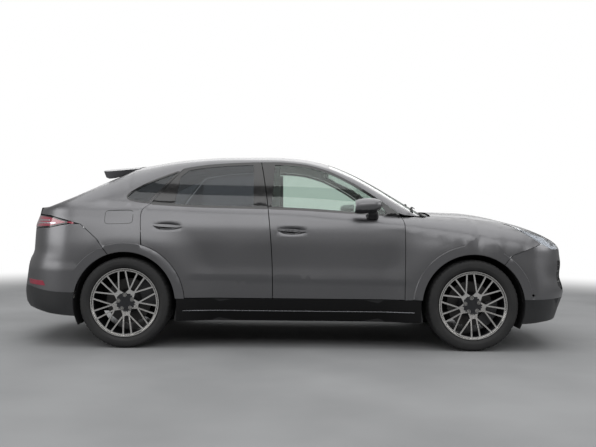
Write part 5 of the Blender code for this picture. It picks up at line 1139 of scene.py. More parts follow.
nose_panel("front_apron", both_ways(apron), black_plastic, "black_trim", SKIN,
           lines=[[(GAP - end, edge - drop), (end - GAP, edge - drop)] for drop in (0.0, 0.001)],
           step=0.05, sink=apron_sink, stands_for=("grille",))
BLADE_HALF, BLADE_DEPTH, BLADE_SINK, BAR_SHARE = 0.0045, 0.016, 0.004, 0.372
MIDDLE_BLADE = (-0.335, 0.335)
blade_count = 0
for z_share in (0.318, 0.345, BAR_SHARE, 0.399, 0.426):
    foot, top = HEIGHT * z_share - BLADE_HALF, HEIGHT * z_share + BLADE_HALF
    for start, stop in (MIDDLE_BLADE, (strut + 0.01, end - 0.005), (0.005 - end, -strut - 0.01)):
        blade = [(start, foot), (stop, foot), (stop, top), (start, top)]
        bright = z_share == BAR_SHARE and start != MIDDLE_BLADE[0]
        nose_panel("grille_blade_%02d" % blade_count, blade, bright_strip if bright else gloss_black,
                   "black_trim", BLADE_DEPTH, sink=BLADE_SINK, step=0.05)
        blade_count += 1
MESH_PLAY, MESH_THICK, MESH_SINK = 0.002, 0.002, 0.009
backing = [(MESH_PLAY - end, low + 0.046), (OUTER_CORNER - end, low + MESH_PLAY),
           (end - OUTER_CORNER, low + MESH_PLAY), (end - MESH_PLAY, low + 0.046),
           (end - MESH_PLAY, high - MESH_PLAY), (MESH_PLAY - end, high - MESH_PLAY)]
nose_panel("intake_mesh", backing, under_black, "black_trim", MESH_THICK, sink=MESH_SINK, step=0.04)
print("grille blades", blade_count)

# %% [markdown]
# ## Headlamps
# A headlamp is a clear moulded cover over a dark room with bright reflectors. The cover takes the
# place of the solid, a silver bowl stands behind it, and four small dark lamps stand in the bowl.

# %% Headlamps
LAMP_STEP, LENS, EYE_RADIUS = 0.03, 0.003, 0.018
COVER_SINK, EYE_SINK, BOWL_SINK, BOWL_PLAY = 0.0005, 0.0045, 0.0085, 0.002
eye_places = ((2.235, 0.905), (2.205, 0.925), (2.165, 0.925), (2.195, 0.895))
lamp = divided(on_nose(places(((LAMP_REAR, 0.632),)) + lamp_top[1:] + lamp_foot), LAMP_STEP)
for side, hand in HANDS:
    nose_panel("headlamp_cover_" + hand, inset(lamp, SEAT), clear_lens, "clear_lens", LENS, side=side,
               sink=COVER_SINK, step=LAMP_STEP, stands_for=("headlamp_" + hand,))
    nose_panel("headlamp_bowl_" + hand, inset(lamp, BOWL_PLAY), lamp_silver, "clear_lens", LENS, side=side,
               sink=BOWL_SINK, step=LAMP_STEP)
    for k, (x, z) in enumerate(eye_places):
        eye = arc((nose_place(x, z), z), EYE_RADIUS, 0, 340, 20)
        nose_panel("headlamp_eye_%s_%d" % (hand, k), eye, gloss_black, "clear_lens", LENS, side=side,
                   sink=EYE_SINK, step=0.02)
print("headlamps made")

# %% [markdown]
# ## Tail
# The rear bumper, the black cladding under it, the lamps and the tailgate are drawn on the tail's
# map. The number plate's place stays blank.

# %% Tail panels
GATE_HALF, GATE_FOOT_HALF, GATE_FOOT = 0.500, 0.455, HEIGHT * 0.468
GATE_THICK, GATE_DRAFT, WINDOW_MARGIN = 0.034, 0.030, 0.055
LAMP_FOOT, CLADDING_TOP, CLADDING_FOOT = HEIGHT * 0.593, HEIGHT * 0.296, HEIGHT * 0.185
gate = []
for station in [0.0118] + list(reversed(stations_between(TAIL_END, -0.035))):
    x = station_x(station)
    y = edge_point(x).y - GAP
    gate.append((gate_place(x, y), y))
edge_z = roof_skin(tail_x(GATE_HALF, TAIL_TOP), GATE_HALF).z
gate += [(GATE_RUN, GATE_HALF), (GATE_RUN + edge_z - LAMP_FOOT, GATE_HALF),
         (GATE_RUN + edge_z - GATE_FOOT, GATE_FOOT_HALF)]
window = []
for station in [mix(-0.082, -0.56, k / 12) for k in range(13)]:
    x = station_x(station)
    y = edge_point(x).y - WINDOW_MARGIN
    window.append((gate_place(x, y), y))
window = mirrored(window)
into_gate = Vector((0.55, 0, -0.83))
bend = [(GATE_RUN, k * (GATE_HALF - GAP) / 10) for k in range(-10, 11)]


# The plate's recess: its half width, how deep it is, and the four rows where its slopes start and end.
PLATE_HALF, PLATE_DEPTH, PLATE_ROWS = 0.27, 0.012, (0.215, 0.227, 0.335, 0.347)


def plate_sink(s, y):
    """The blank recess where a number plate would be."""
    down = s - GATE_RUN
    first, second, third, last = PLATE_ROWS
    return (PLATE_DEPTH * ease(PLATE_HALF - abs(y), 0.0, PLATE_DEPTH) * ease(down, first, second)
            * (1 - ease(down, third, last)))


recess = [[(GATE_RUN + row, y) for y in (-PLATE_HALF, -0.09, 0.09, PLATE_HALF)] for row in PLATE_ROWS]
recess += [[(GATE_RUN + PLATE_ROWS[0], y), (GATE_RUN + PLATE_ROWS[3], y)]
           for y in (-PLATE_HALF, -0.258, 0.258, PLATE_HALF)]
panel("tailgate_skin", mirrored(gate), gate_map, (paint,), "tailgate", "car_paint", GATE_THICK,
      holes=[window], lines=[bend] + recess, inward=into_gate, draft=GATE_DRAFT, sink=plate_sink,
      stands_for=("liftgate",))
pane("rear_window_pane", window, gate_map, dark_glass, "tailgate", "tinted_glass", "rear_glass", into_gate)


def tail_panel(name, outline, surface, slot, thickness, **more):
    """Panel that follows the tail."""
    return panel(name, outline, tail_map, (surface,), "shell", slot, thickness, inward=into_tail, **more)


half = [(0.0, GATE_FOOT - GAP), (gate_foot_place(GATE_FOOT_HALF + GAP, GATE_FOOT - GAP), GATE_FOOT - GAP),
        (gate_foot_place(GATE_HALF + GAP, LAMP_FOOT - GAP), LAMP_FOOT - GAP)]
half += on_tail([(x, z - GAP) for x, z in places(((-0.62, 0.600), (-0.535, 0.610), (-0.45, 0.620)))])
half += on_tail([(x - GAP, z - GAP / 2) for x, z in reversed(divided(bumper_cut, 0.03, closed=False))])
half += on_tail(arch(False, REAR_ARCH, 109.8, 168.5))
cladding = places(((-0.415, 0.276), (-0.578, 0.279), (-0.80, 0.296)))
half += on_tail(cladding) + [(0.0, CLADDING_TOP)]
lips = [[(hand * tail_place(x, z), z) for x, z in line] for line in lip_lines(False, 100, 200, 3.0)
        for hand in (1, -1)]
tail_panel("rear_bumper_skin", both_ways(half), paint, "car_paint", SKIN, lines=lips,
           stands_for=("rear_bumper",))
half = [(0.0, CLADDING_TOP - SEAT)] + on_tail([(x, z - SEAT) for x, z in reversed(cladding)])
half += on_tail(arch(False, REAR_ARCH, 169.1, 180 - foot_angle(False, REAR_ARCH, HEIGHT * 0.160)))
half += on_tail(places(((-0.46, 0.162), (-0.60, 0.168), (-0.78, 0.185)))) + [(0.0, CLADDING_FOOT)]
tail_panel("rear_cladding", both_ways(half), black_plastic, "black_trim", SKIN, lines=lips, step=0.04,
           stands_for=("rear_valance",))
print("tailgate and bumpers made")

# %% Tail lamps, light band and reflectors
TAIL_LAMP_THICK, TAIL_LAMP_DRAFT, GLOW_INSET, GLOW_STEP = 0.012, 0.007, 0.010, 0.02
STRIP_HALF, STRIP_RISE, GLOW_THICK, GLOW_RISE = 0.0045, 0.0045, 0.004, 0.0025
REFLECTOR_THICK, REFLECTOR_RISE, BAND_THICK, BAND_RISE = 0.006, 0.003, 0.006, 0.002
LAMP_LINE = HEIGHT * 0.668 - 2 * GAP
inner_lamp = [(gate_foot_place(GATE_HALF + GAP, z), z) for z in (LAMP_LINE, LAMP_FOOT)]
tail_lamp = on_tail([(x, z - 2 * GAP) for x, z in spline(lamp_line, 4)]) + inner_lamp
tail_lamp += on_tail(places(((-0.62, 0.600), (-0.535, 0.611), (-0.45, 0.622))))
reflector = on_tail([(-2.285, 0.552), (-2.10, 0.548), (-2.075, 0.508), (-2.27, 0.512)])
for side, hand in HANDS:
    tail_panel("tail_lamp_lens_" + hand, tail_lamp, gloss_black, "red_lens", TAIL_LAMP_THICK, side=side,
               draft=TAIL_LAMP_DRAFT, stands_for=("tail_lamp_" + hand,))
    tail_panel("tail_lamp_glow_" + hand, inset(divided(tail_lamp, GLOW_STEP), GLOW_INSET), red_lens,
               "red_lens", GLOW_THICK, side=side, sink=-GLOW_RISE, step=GLOW_STEP)
    for k, (z, tip) in enumerate(((HEIGHT * 0.634, -2.06), (HEIGHT * 0.620, -2.00))):
        run = [tail_place(x, z) for x in (tip, -2.10, -2.17, -2.24)]
        strip = [(a, z - STRIP_HALF) for a in run] + [(a, z + STRIP_HALF) for a in reversed(run)]
        tail_panel("tail_lamp_clear_%s_%d" % (hand, k), strip, lamp_silver, "clear_lens", LENS, side=side,
                   sink=-STRIP_RISE, step=0.03)
    tail_panel("rear_reflector_" + hand, reflector, red_lens, "red_lens", REFLECTOR_THICK, side=side,
               sink=-REFLECTOR_RISE, step=0.03)
BAND_HALF, BAND_TOP, BAND_FOOT = 0.494, GATE_RUN + 0.075, GATE_RUN + 0.103
band = [(BAND_TOP, -BAND_HALF), (BAND_TOP, BAND_HALF), (BAND_FOOT, BAND_HALF), (BAND_FOOT, -BAND_HALF)]
panel("tail_light_band", band, gate_map, (red_lens,), "tailgate", "red_lens", BAND_THICK, inward=into_gate,
      sink=-BAND_RISE, step=0.03)
print("lamps made")

# %% [markdown]
# ## Wheels
# Five broad arms leave the hub, and each splits twice into four thin spokes, so twenty of them meet
# the rim. The face is a dished plate with windows. A lathe cuts only what looks outwards, so faces
# that point out get the bright finish and the walls between them stay dark.

# %% Turned rings and wheel faces
def polar(radius, angle):
    return (radius * math.cos(math.radians(angle)), radius * math.sin(math.radians(angle)))


TYRE_BULGE = 0.012


def ring_points(section, sides, notch=None):
    """Points and faces of a closed section turned about the Y axis."""
    points, faces = [], []
    size = len(section)
    for k in range(sides):
        angle = 2 * math.pi * k / sides - math.pi / 2
        for y, r in section:
            reach = r - notch(k, y, r) if notch else r
            points.append(Vector((reach * math.cos(angle), y, reach * math.sin(angle))))
        there = (k + 1) % sides
        faces += [(k * size + j, k * size + (j + 1) % size, there * size + (j + 1) % size, there * size + j)
                  for j in range(size)]
    return points, faces


# Angles are in degrees: where the first arm points, how far its two forks stand from it, and half the
# spread of the spokes. Radii are where the forks split and where the windows end.
ARMS, TURN, ARM, FORK, SPLIT = 5, 72, 48.5, 12.0, 7.5
FORK_RADIUS, WINDOW_RADIUS, FACE_RADIUS = 0.112, 0.2675, 0.2695
SPOKE_HALF, FACE_THICK, WINDOW_STEP, RING_SIDES = 0.0066, 0.026, 0.02, 120


def wheel_windows():
    """The openings between the spokes, each drawn to the spokes' middle lines and then inset."""
    windows = []
    for k in range(ARMS):
        arm = ARM + TURN * k
        near, far = polar(FORK_RADIUS, arm - FORK), polar(FORK_RADIUS, arm + FORK)

        def rim(start, end):
            return [polar(WINDOW_RADIUS, mix(start, end, t / 6)) for t in range(7)]
        windows.append([near] + rim(arm - SPLIT, arm + SPLIT) + [far, polar(0.104, arm)])
        windows.append([far] + rim(arm + SPLIT, arm + 30))
        windows.append([near] + rim(arm - SPLIT, arm - 30))
        loop = spline([polar(FORK_RADIUS, arm - FORK + TURN), polar(0.083, arm + 50), polar(0.072, arm + 36),
                       polar(0.083, arm + 22), far], 4)
        windows.append(loop + rim(arm + 30, arm + 42))
    turned = [window if signed_area(window) > 0 else list(reversed(window)) for window in windows]
    return [inset(window, SPOKE_HALF) for window in turned]


def wheel_parts(half_width):
    """The barrel and the dished, windowed face of one wheel, and the half width of its rim."""
    w = half_width - TYRE_BULGE
    section = [(w, 0.284), (w - 0.010, 0.284), (w - 0.016, 0.272), (0.016 - w, 0.270), (0.010 - w, 0.284),
               (-w, 0.284), (-w, 0.262), (w - 0.05, 0.258), (w - 0.012, 0.2665), (w - 0.004, 0.274),
               (w, 0.2765)]
    edge = [polar(FACE_RADIUS, 360 // RING_SIDES * k) for k in range(RING_SIDES)]
    outlines = [edge] + [divided(window, WINDOW_STEP) for window in wheel_windows()]
    flat, faces = triangles(outlines, [], 0.014)

    def dish(u, v):
        r = math.hypot(u, v)
        return w - 0.007 - 0.030 * (1 - ease(r, 0.03, 0.262)) + 0.004 * (1 - ease(r, 0.0, 0.05))
    points = [Vector((u, dish(u, v) - drop, v)) for drop in (0.0, FACE_THICK) for u, v in flat]
    return ring_points(section, RING_SIDES), (points, slab(outlines, faces, len(flat))), w


print("windows in a wheel", len(wheel_windows()))


# %% Building one wheel of each size
def mirrored_section(outer):
    return outer + [(-y, r) for y, r in reversed(outer)]


def drum_parts(centre, radius, low, high, sides):
    """A solid drum along the wheel's axis."""
    angles = [2 * math.pi * k / sides for k in range(sides)]
    points = [Vector((centre[0] + radius * math.cos(t), y, centre[1] + radius * math.sin(t)))
              for y in (low, high) for t in angles]
    faces = [(k, (k + 1) % sides, sides + (k + 1) % sides, sides + k) for k in range(sides)]
    return points, faces + [tuple(range(sides)), tuple(range(2 * sides - 1, sides - 1, -1))]


def merged(parts):
    points, faces = [], []
    for some, their in parts:
        faces += [tuple(len(points) + k for k in face) for face in their]
        points += some
    return points, faces


GROOVE_DEPTH, GROOVE_TOP, GROOVE_BASE, NOTCH_DEPTH, TYRE_SIDES = 0.007, 0.006, 0.0045, 0.0045, 240


def tyre_parts(half, radius):
    """A tyre from bead to bead, with round grooves in its tread and notches over its shoulders."""
    w = half - TYRE_BULGE
    outer = [(w - 0.0186, 0.2704), (w - 0.0122, 0.2844), (w - 0.006, 0.2885), (w + 0.0035, 0.298),
             (w + 0.009, 0.312), (w + 0.0114, 0.318), (w + 0.0116, 0.3215), (w + 0.0120, 0.336),
             (w + 0.0108, 0.352), (half - 0.0045, radius - 0.017), (half - 0.009, radius - 0.0105),
             (half - 0.016, radius - 0.0062), (half - 0.026, radius - 0.0032),
             (half - 0.042, radius - 0.0010)]
    for groove in (0.54 * half, 0.2 * half):
        outer += [(groove + GROOVE_TOP, radius), (groove + GROOVE_BASE, radius - GROOVE_DEPTH),
                  (groove - GROOVE_BASE, radius - GROOVE_DEPTH), (groove - GROOVE_TOP, radius)]

    def notch(k, y, r):
        """Cross grooves over the tread's shoulders."""
        return NOTCH_DEPTH if k % 4 == 0 and abs(y) > 0.6 * half and r > radius - 0.012 else 0.0
    return ring_points(mirrored_section(outer), TYRE_SIDES, notch)


HUB_RADIUS, BOLT_CIRCLE, BOLT_RADIUS = 0.058, 0.060, 0.0095
DISC_FACE, DISC_BACK, DISC_INNER, DISC_OUTER = -0.0205, -0.0475, 0.105, 0.189
wheel_meshes = {}
for end, half, radius in (("front", 0.140, FRONT_TYRE), ("rear", 0.1525, REAR_TYRE)):
    barrel, plate, w = wheel_parts(half)
    hub = drum_parts((0, 0), HUB_RADIUS, -0.047, w - 0.062, 40)
    cap = ring_points([(w - 0.036, 0.0005), (w - 0.0345, 0.020), (w - 0.0365, 0.031), (w - 0.044, 0.0335),
                       (w - 0.050, 0.0335), (w - 0.050, 0.0005)], 48)
    seat_points, seat_faces = ring_points([(w - 0.0315, 0.0125), (w - 0.0315, 0.0155), (w - 0.040, 0.0155),
                                           (w - 0.040, 0.0125)], 24)
    bolts, seats = [], []
    for k in range(ARMS):
        x, z = polar(BOLT_CIRCLE, ARM + TURN * k + TURN / 2)
        bolts.append(drum_parts((x, z), BOLT_RADIUS, w - 0.052, w - 0.033, 6))
        seats.append(([Vector((p.x + x, p.y, p.z + z)) for p in seat_points], seat_faces))
    disc = ring_points([(DISC_FACE, DISC_INNER), (DISC_FACE, DISC_OUTER), (-0.032, 0.190), (-0.036, 0.190),
                        (DISC_BACK, DISC_OUTER), (DISC_BACK, DISC_INNER)], 96)
    wheel_meshes[end] = (barrel, plate, hub, cap, merged(bolts), merged(seats), disc,
                         tyre_parts(half, radius), w)
print("wheels modelled")

# %% Placing them
FRONT_TRACK, REAR_TRACK = 1.680, 1.655
TURNED_TILT, TURNED_DEPTH, HUB_SHADE = 0.55, 0.06, 0.078
for end, x, track, radius in (("front", FRONT_X, FRONT_TRACK, FRONT_TYRE),
                              ("rear", REAR_X, REAR_TRACK, REAR_TYRE)):
    barrel, plate, hub, cap, bolts, seats, disc, tyre, w = wheel_meshes[end]
    for side, hand in HANDS:
        body = "wheel_" + end + "_" + hand
        turn = Matrix.Identity(4) if side > 0 else Matrix.Rotation(math.pi, 4, "Z")
        place = Matrix.Translation((x, side * track / 2, radius)) @ turn

        def placed(name, part, finishes, stands_for=(), angle=38.0):
            points, faces = part
            return finished(name + "_" + end + "_" + hand, [place @ p for p in points], faces, finishes,
                            body, stands_for, angle)
        rim_piece = placed("wheel_barrel", barrel, (wheel_dark, machined),
                           ("rim_" + end + "_" + hand,))
        face_piece = placed("wheel_spokes", plate, (wheel_dark, machined))
        for piece in (rim_piece, face_piece):
            for face in piece.data.polygons:
                out = side * (face.center.y - side * track / 2)
                turned = side * face.normal.y > TURNED_TILT and out > w - TURNED_DEPTH
                face.material_index = 1 if turned else 0
        for face in face_piece.data.polygons:
            if math.hypot(face.center.x - x, face.center.z - radius) < HUB_SHADE:
                face.material_index = 0
        placed("wheel_hub", hub, (wheel_dark,))
        placed("wheel_cap", cap, (wheel_dark,))
        placed("wheel_bolts", bolts, (steel,))
        placed("wheel_bolt_seats", seats, (machined,))
        placed("brake_disc", disc, (disc_iron,))
        placed("tyre_rubber", tyre, (rubber,), ("tyre_" + end + "_" + hand,), 50.0)
print("wheels placed")

# %% [markdown]
# ## Small parts of the body
# What makes a plain shell look like a car is small: handles, mirrors, the sill with its bright line,
# the spoiler, wipers and the exhaust's mouths. Thin ones are cut from the same maps as the panels,
# a few millimetres proud, so they follow the skin.


# %% Rounding helper and door handles
SHARP = 50


def rounded(piece, width, segments=3):
    """Bevels a piece's sharp edges and applies it."""
    bpy.context.view_layer.objects.active = piece
    piece.select_set(True)
    bevel = piece.modifiers.new("rounding", "BEVEL")
    bevel.width, bevel.segments, bevel.limit_method = width, segments, "ANGLE"
    bevel.angle_limit = math.radians(SHARP)
    bpy.ops.object.modifier_apply(modifier=bevel.name)
    smooth(piece, SHARP)
    return piece


def bar(place, length, height, slope, power=2.6):
    """Long oval outline."""
    points = []
    for k in range(36):
        c, s = polar(1.0, 10 * k)
        x = length * math.copysign(abs(c) ** (2 / power), c)
        z = height * math.copysign(abs(s) ** (2 / power), s)
        points.append((place[0] + x, place[1] + z + slope * x))
    return points


def side_panel(name, outline, surface, body, slot, thickness, side, sink, step=0.02, holes=()):
    """Thin panel that follows the side, proud of it where the sink is below zero."""
    return panel(name, outline, side_map, (surface,), body, slot, thickness, inward=INTO_CABIN, side=side,
                 sink=sink, step=step, holes=holes)


GRIP_LENGTH, GRIP_HEIGHT, GRIP_THICK, GRIP_RISE, GRIP_RAISED = 0.118, 0.0115, 0.013, 0.014, 0.004
SHADE_LENGTH, SHADE_HEIGHT, SHADE_DROP, SHADE_SINK, SHADE_THICK = 0.090, 0.010, 0.012, 0.012, 0.002
HANDLE_SLOPE, GRIP_ROUNDING, LINE_ROUNDING = -0.05, 0.0045, 0.002
SPOILER_ROUNDING, FOOT_ROUNDING = 0.003, 0.012
for side, hand in HANDS:
    for end in ("front", "rear"):
        x, z = handle_places[end]
        body, tag = end + "_door_" + hand, end + "_" + hand
        outline = bar((x, z + GRIP_RAISED), GRIP_LENGTH, GRIP_HEIGHT, HANDLE_SLOPE)
        rounded(side_panel("door_handle_" + tag, outline, paint, body, "car_paint", GRIP_THICK, side,
                           -GRIP_RISE), GRIP_ROUNDING)
        # Under each grip a thin black sheet lies in the bowl: painted shade where the grip's shadow falls.
        outline = bar((x, z - SHADE_DROP), SHADE_LENGTH, SHADE_HEIGHT, HANDLE_SLOPE)
        side_panel("door_handle_painted_shade_" + tag, outline, gap_black_and_painted_shade, body, "black_trim", SHADE_THICK, side,
                   SHADE_SINK)
print("handles made")

# %% Sills with their bright line and fuel flap
SILL_FOOT, SILL_PLAY, COVER_RISE = 0.2335, 0.001, 0.0025
LINE_FOOT, LINE_TOP, LINE_THICK, LINE_RISE = 0.314, 0.3215, 0.008, 0.010
FLAP_PLACE, FLAP_LENGTH, FLAP_HEIGHT = (-1.463, 1.088), 0.118, 0.058
FLAP_LINE, FLAP_LINE_THICK, FLAP_LINE_RISE = 0.0028, 0.001, 0.0008


def strip_outline(rear, front, foot, top):
    return [(rear, foot), (front, foot), (front, top), (rear, top)]


cover = strip_outline(REAR_X + REAR_ARCH + 0.012, FRONT_X - FRONT_ARCH - 0.012, SILL_FOOT,
                      SILL_TOP - SILL_PLAY)
line = strip_outline(REAR_X + REAR_ARCH + LIP - 0.01, FRONT_X - FRONT_ARCH - LIP + 0.01, LINE_FOOT, LINE_TOP)
for side, hand in HANDS:
    # The sill cover's darker black is painted shade.
    side_panel("sill_cover_" + hand, cover, sill_plastic_painted_shade, "shell", "black_trim", TRIM_THICK, side,
               -COVER_RISE, step=0.05)
    rounded(side_panel("sill_bright_line_" + hand, line, bright_strip, "shell", "black_trim", LINE_THICK,
                       side, -LINE_RISE), LINE_ROUNDING, 2)
flap = bar(FLAP_PLACE, FLAP_LENGTH, FLAP_HEIGHT, 0.03, 6.0)
side_panel("fuel_flap_line", flap, gap_black_and_painted_shade, "shell", "black_trim", FLAP_LINE_THICK, -1, -FLAP_LINE_RISE,
           holes=[inset(flap, FLAP_LINE)])
print("sills and flap made")


# %% Mirrors
MIRROR_CENTRE, MIRROR_HALF = (0.600, 1.008, 1.200), (0.128, 0.086, 0.070)
MIRROR_BOX, MIRROR_TAPER, MIRROR_LIFT, MIRROR_BACK = 0.82, 0.22, 0.012, 0.502
BACK_TILT, SHELL_FOOT = -0.98, 1.166
# Sections of the foot, from the door outwards: y, then x and z where each starts and ends.
foot_sections = ((0.872, 0.600, 0.715, 1.082, 1.128), (0.940, 0.618, 0.700, 1.092, 1.142),
                 (1.000, 0.615, 0.690, 1.125, 1.160))
foot_faces = [(0, 1, 2, 3), (8, 9, 10, 11)]
foot_faces += [(4 * r + k, 4 * r + (k + 1) % 4, 4 * r + 4 + (k + 1) % 4, 4 * r + 4 + k)
               for r in (0, 1) for k in range(4)]


def mirror_shape(side):
    """A boxy egg with a flat back, from a sphere."""
    bpy.ops.object.select_all(action="DESELECT")
    bpy.ops.mesh.primitive_uv_sphere_add(segments=56, ring_count=28, radius=1.0, location=(0, 0, 0))
    piece = bpy.context.object
    (x, y, z), (half_x, half_y, half_z) = MIRROR_CENTRE, MIRROR_HALF
    for vertex in piece.data.vertices:
        a, b, c = Vector([math.copysign(abs(v) ** MIRROR_BOX, v) for v in vertex.co])
        taper = 1 - MIRROR_TAPER * (a + 1) / 2
        height = z + half_z * c * taper + MIRROR_LIFT * a
        vertex.co = Vector((x + half_x * a, side * (y + half_y * b), height))
    bpy.ops.object.mode_set(mode="EDIT")
    bpy.ops.mesh.select_all(action="SELECT")
    bpy.ops.mesh.bisect(plane_co=(MIRROR_BACK, 0, z), plane_no=(-1, 0, 0.05), use_fill=True, clear_outer=True)
    bpy.ops.object.mode_set(mode="OBJECT")
    face_out(piece.data)
    return piece


for side, hand in HANDS:
    body = "front_door_" + hand
    piece = mirror_shape(side)
    piece.name = "mirror_shell_" + hand
    for face in piece.data.polygons:
        under = 1 if face.center.z < SHELL_FOOT else 0
        face.material_index = 2 if face.normal.x < BACK_TILT else under
    dressed(piece, (paint, black_plastic, mirror_glass), body, ("mirror_" + hand,), 35)
    foot_points = [Vector((px, side * y, pz)) for y, low_x, high_x, low_z, high_z in foot_sections
                   for px, pz in strip_outline(low_x, high_x, low_z, high_z)]
    rounded(finished("mirror_foot_" + hand, foot_points, foot_faces, (black_plastic,), body),
            FOOT_ROUNDING, 3)
print("mirrors made")

# %% Spoiler and wipers
SPOILER_FRONT, SPOILER_RISE, SPOILER_SLOPE, SPOILER_DRAFT = -1.385, 0.004, 0.095, 0.020
WIPER_HALF, WIPER_BLADE, WIPER_BLADE_RISE, WIPER_ARM, WIPER_ARM_RISE = 0.0065, 0.014, 0.0145, 0.008, 0.023


def spoiler_skin(x, y):
    start = roof_skin(SPOILER_FRONT, y)
    return Vector((x, y, start.z + SPOILER_RISE + SPOILER_SLOPE * (x - SPOILER_FRONT)))


def spoiler_depth(x, y):
    """Thin where it leaves the roof, deep over the rear glass, thinner again at its tip."""
    return mix(0.028, 0.070, ease(-x, 1.42, 1.62)) - 0.020 * ease(-x, 1.66, 1.73)


blade = [(SPOILER_FRONT, 0.515)] + spline([(-1.45, 0.520), (-1.60, 0.520), (-1.685, 0.500),
                                           (-1.722, 0.42), (-1.730, 0.0)], 4)
rounded(panel("roof_spoiler", mirrored(blade, 1), spoiler_skin, (paint,), "tailgate", "car_paint",
              spoiler_depth, inward=DOWN, step=0.035, draft=SPOILER_DRAFT), SPOILER_ROUNDING)


def wiper_part(name, root, tip, root_half, tip_half, surface, thickness, rise, rounding):
    """Thin tapered bar over the windscreen."""
    outline = [tuple(root - root_half), tuple(tip - tip_half), tuple(tip + tip_half), tuple(root + root_half)]
    rounded(panel(name, outline, roof_skin, (surface,), "shell", "black_trim", thickness, inward=DOWN,
                  sink=-rise, step=0.05), rounding)


across = Vector((WIPER_HALF, 0))
for k, (start, stop) in enumerate((((1.085, 0.36), (1.035, -0.24)), ((1.075, -0.30), (1.02, -0.72)))):
    a, b = Vector(start), Vector(stop)
    wiper_part("wiper_blade_%d" % k, a, b, across, across, gap_black_and_painted_shade, WIPER_BLADE, WIPER_BLADE_RISE, 0.003)
    root, tip = Vector((1.095, mix(start[1], stop[1], 0.1))), a.lerp(b, 0.5)
    wiper_part("wiper_arm_%d" % k, root, tip, across, across * 0.6, black_plastic, WIPER_ARM,
               WIPER_ARM_RISE, 0.002)
print("spoiler and wipers made")

# %% Exhaust mouths and arch liners
# The liners close the lower ends of the wheel arches, behind the bumpers' edges.
MOUTH_X, MOUTH_HEIGHT, MOUTH_Y = -2.335, HEIGHT * 0.205, HALF_WIDTH * 0.42 - 0.06
mouth_section = [(-0.070, 0.050), (0.070, 0.048), (0.070, 0.0405), (-0.068, 0.0425), (-0.071, 0.046)]
for side, hand in HANDS:
    points, faces = ring_points(mouth_section, 64)
    points = [Vector((MOUTH_X + p.y, side * MOUTH_Y + p.x, MOUTH_HEIGHT + p.z)) for p in points]
    finished("exhaust_mouth_" + hand, points, faces, (steel,), "shell")
LINER_STEPS, LINER_INNER_Y, LINER_MARGIN, LINER_FLOOR, LINER_RADII = 12, 0.640, 0.022, 0.30, (0.003, 0.006)
liners = (("front", FRONT_X, FRONT_TYRE, FRONT_ARCH, -26, 4, nose_map, nose_place),
          ("rear", REAR_X, REAR_TYRE, REAR_ARCH, 176, 206, tail_map, tail_place))
for end, axle, tyre, radius, first, last, lift, flat_place in liners:
    for side, hand in HANDS:
        points, faces = [], []
        for k in range(LINER_STEPS + 1):
            t = math.radians(mix(first, last, k / LINER_STEPS))
            for reach in [radius + extra for extra in LINER_RADII]:
                x, z = axle + reach * math.cos(t), tyre + reach * math.sin(t)
                height = max(z, LINER_FLOOR)
                outer = abs(lift(flat_place(x, height), height).y) - LINER_MARGIN
                points += [Vector((x, side * LINER_INNER_Y, z)), Vector((x, side * outer, z))]
        for k in range(LINER_STEPS):
            a, b = 4 * k, 4 * k + 4
            faces += [(a, a + 1, b + 1, b), (a + 2, b + 2, b + 3, a + 3), (a, b, b + 2, a + 2),
                      (a + 1, a + 3, b + 3, b + 1)]
        close = 4 * LINER_STEPS
        faces += [(0, 2, 3, 1), (close, close + 1, close + 3, close + 2)]
        finished("%s_arch_liner_%s" % (end, hand), points, faces, (under_black,), "shell")
print("exhaust mouths and liners made")

# %% [markdown]
# ## Cabin
# The seats are foam under leather. A cloth simulation could swell them, but they are seen only
# through glass, so each solid is remeshed, relaxed until its edges are round, and its bolsters and
# sewn channels are pushed in by a formula.


# %% Seats
SEAM_DEPTH, SEAM_WIDTH, DISH = 0.010, 0.010, 0.012
CHANNEL_DEPTH, CHANNEL_WIDTH, CHANNEL_STEP = 0.005, 0.008, 0.085


def soft_seat(node, name, centres, width, voxel):
    """Rounded, stitched copy of a seat's solid. centres are the middles of the places to sit."""
    mesh = nodes[node].data.copy()
    mesh.materials.clear()
    piece = bpy.data.objects.new(name, mesh)
    bpy.context.scene.collection.objects.link(piece)
    form = bmesh.new()
    form.from_mesh(mesh)
    bmesh.ops.remove_doubles(form, verts=form.verts, dist=0.0001)
    form.to_mesh(mesh)
    form.free()
    bpy.ops.object.select_all(action="DESELECT")
    piece.select_set(True)
    bpy.context.view_layer.objects.active = piece
    remesh = piece.modifiers.new("remesh", "REMESH")
    remesh.mode, remesh.voxel_size = "VOXEL", voxel
    bpy.ops.object.modifier_apply(modifier=remesh.name)
    relax = piece.modifiers.new("relax", "SMOOTH")
    relax.factor, relax.iterations = 0.6, 14
    bpy.ops.object.modifier_apply(modifier=relax.name)
    normals = [vertex.normal.copy() for vertex in piece.data.vertices]
    for vertex, normal in zip(piece.data.vertices, normals):
        across = min(abs(vertex.co.y - c) for c in centres)
        seam = math.exp(-((across - width) / SEAM_WIDTH) ** 2)
        rows = abs(((vertex.co.z + 0.9 * vertex.co.x) / CHANNEL_STEP) % 1.0 - 0.5) * CHANNEL_STEP
        channel = math.exp(-((rows - CHANNEL_STEP / 2) / CHANNEL_WIDTH) ** 2)
        channel *= 1 - ease(across, width - 0.03, width - 0.005)
        dish = (1 - ease(across, 0.0, width)) * max(0.0, normal.x + normal.z)
        vertex.co -= normal * (SEAM_DEPTH * seam + CHANNEL_DEPTH * channel + DISH * dish)
    piece.data.materials.append(leather)
    bpy.ops.object.shade_smooth()
    piece.select_set(False)
    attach(piece, "shell")
    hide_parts(node)
    return piece


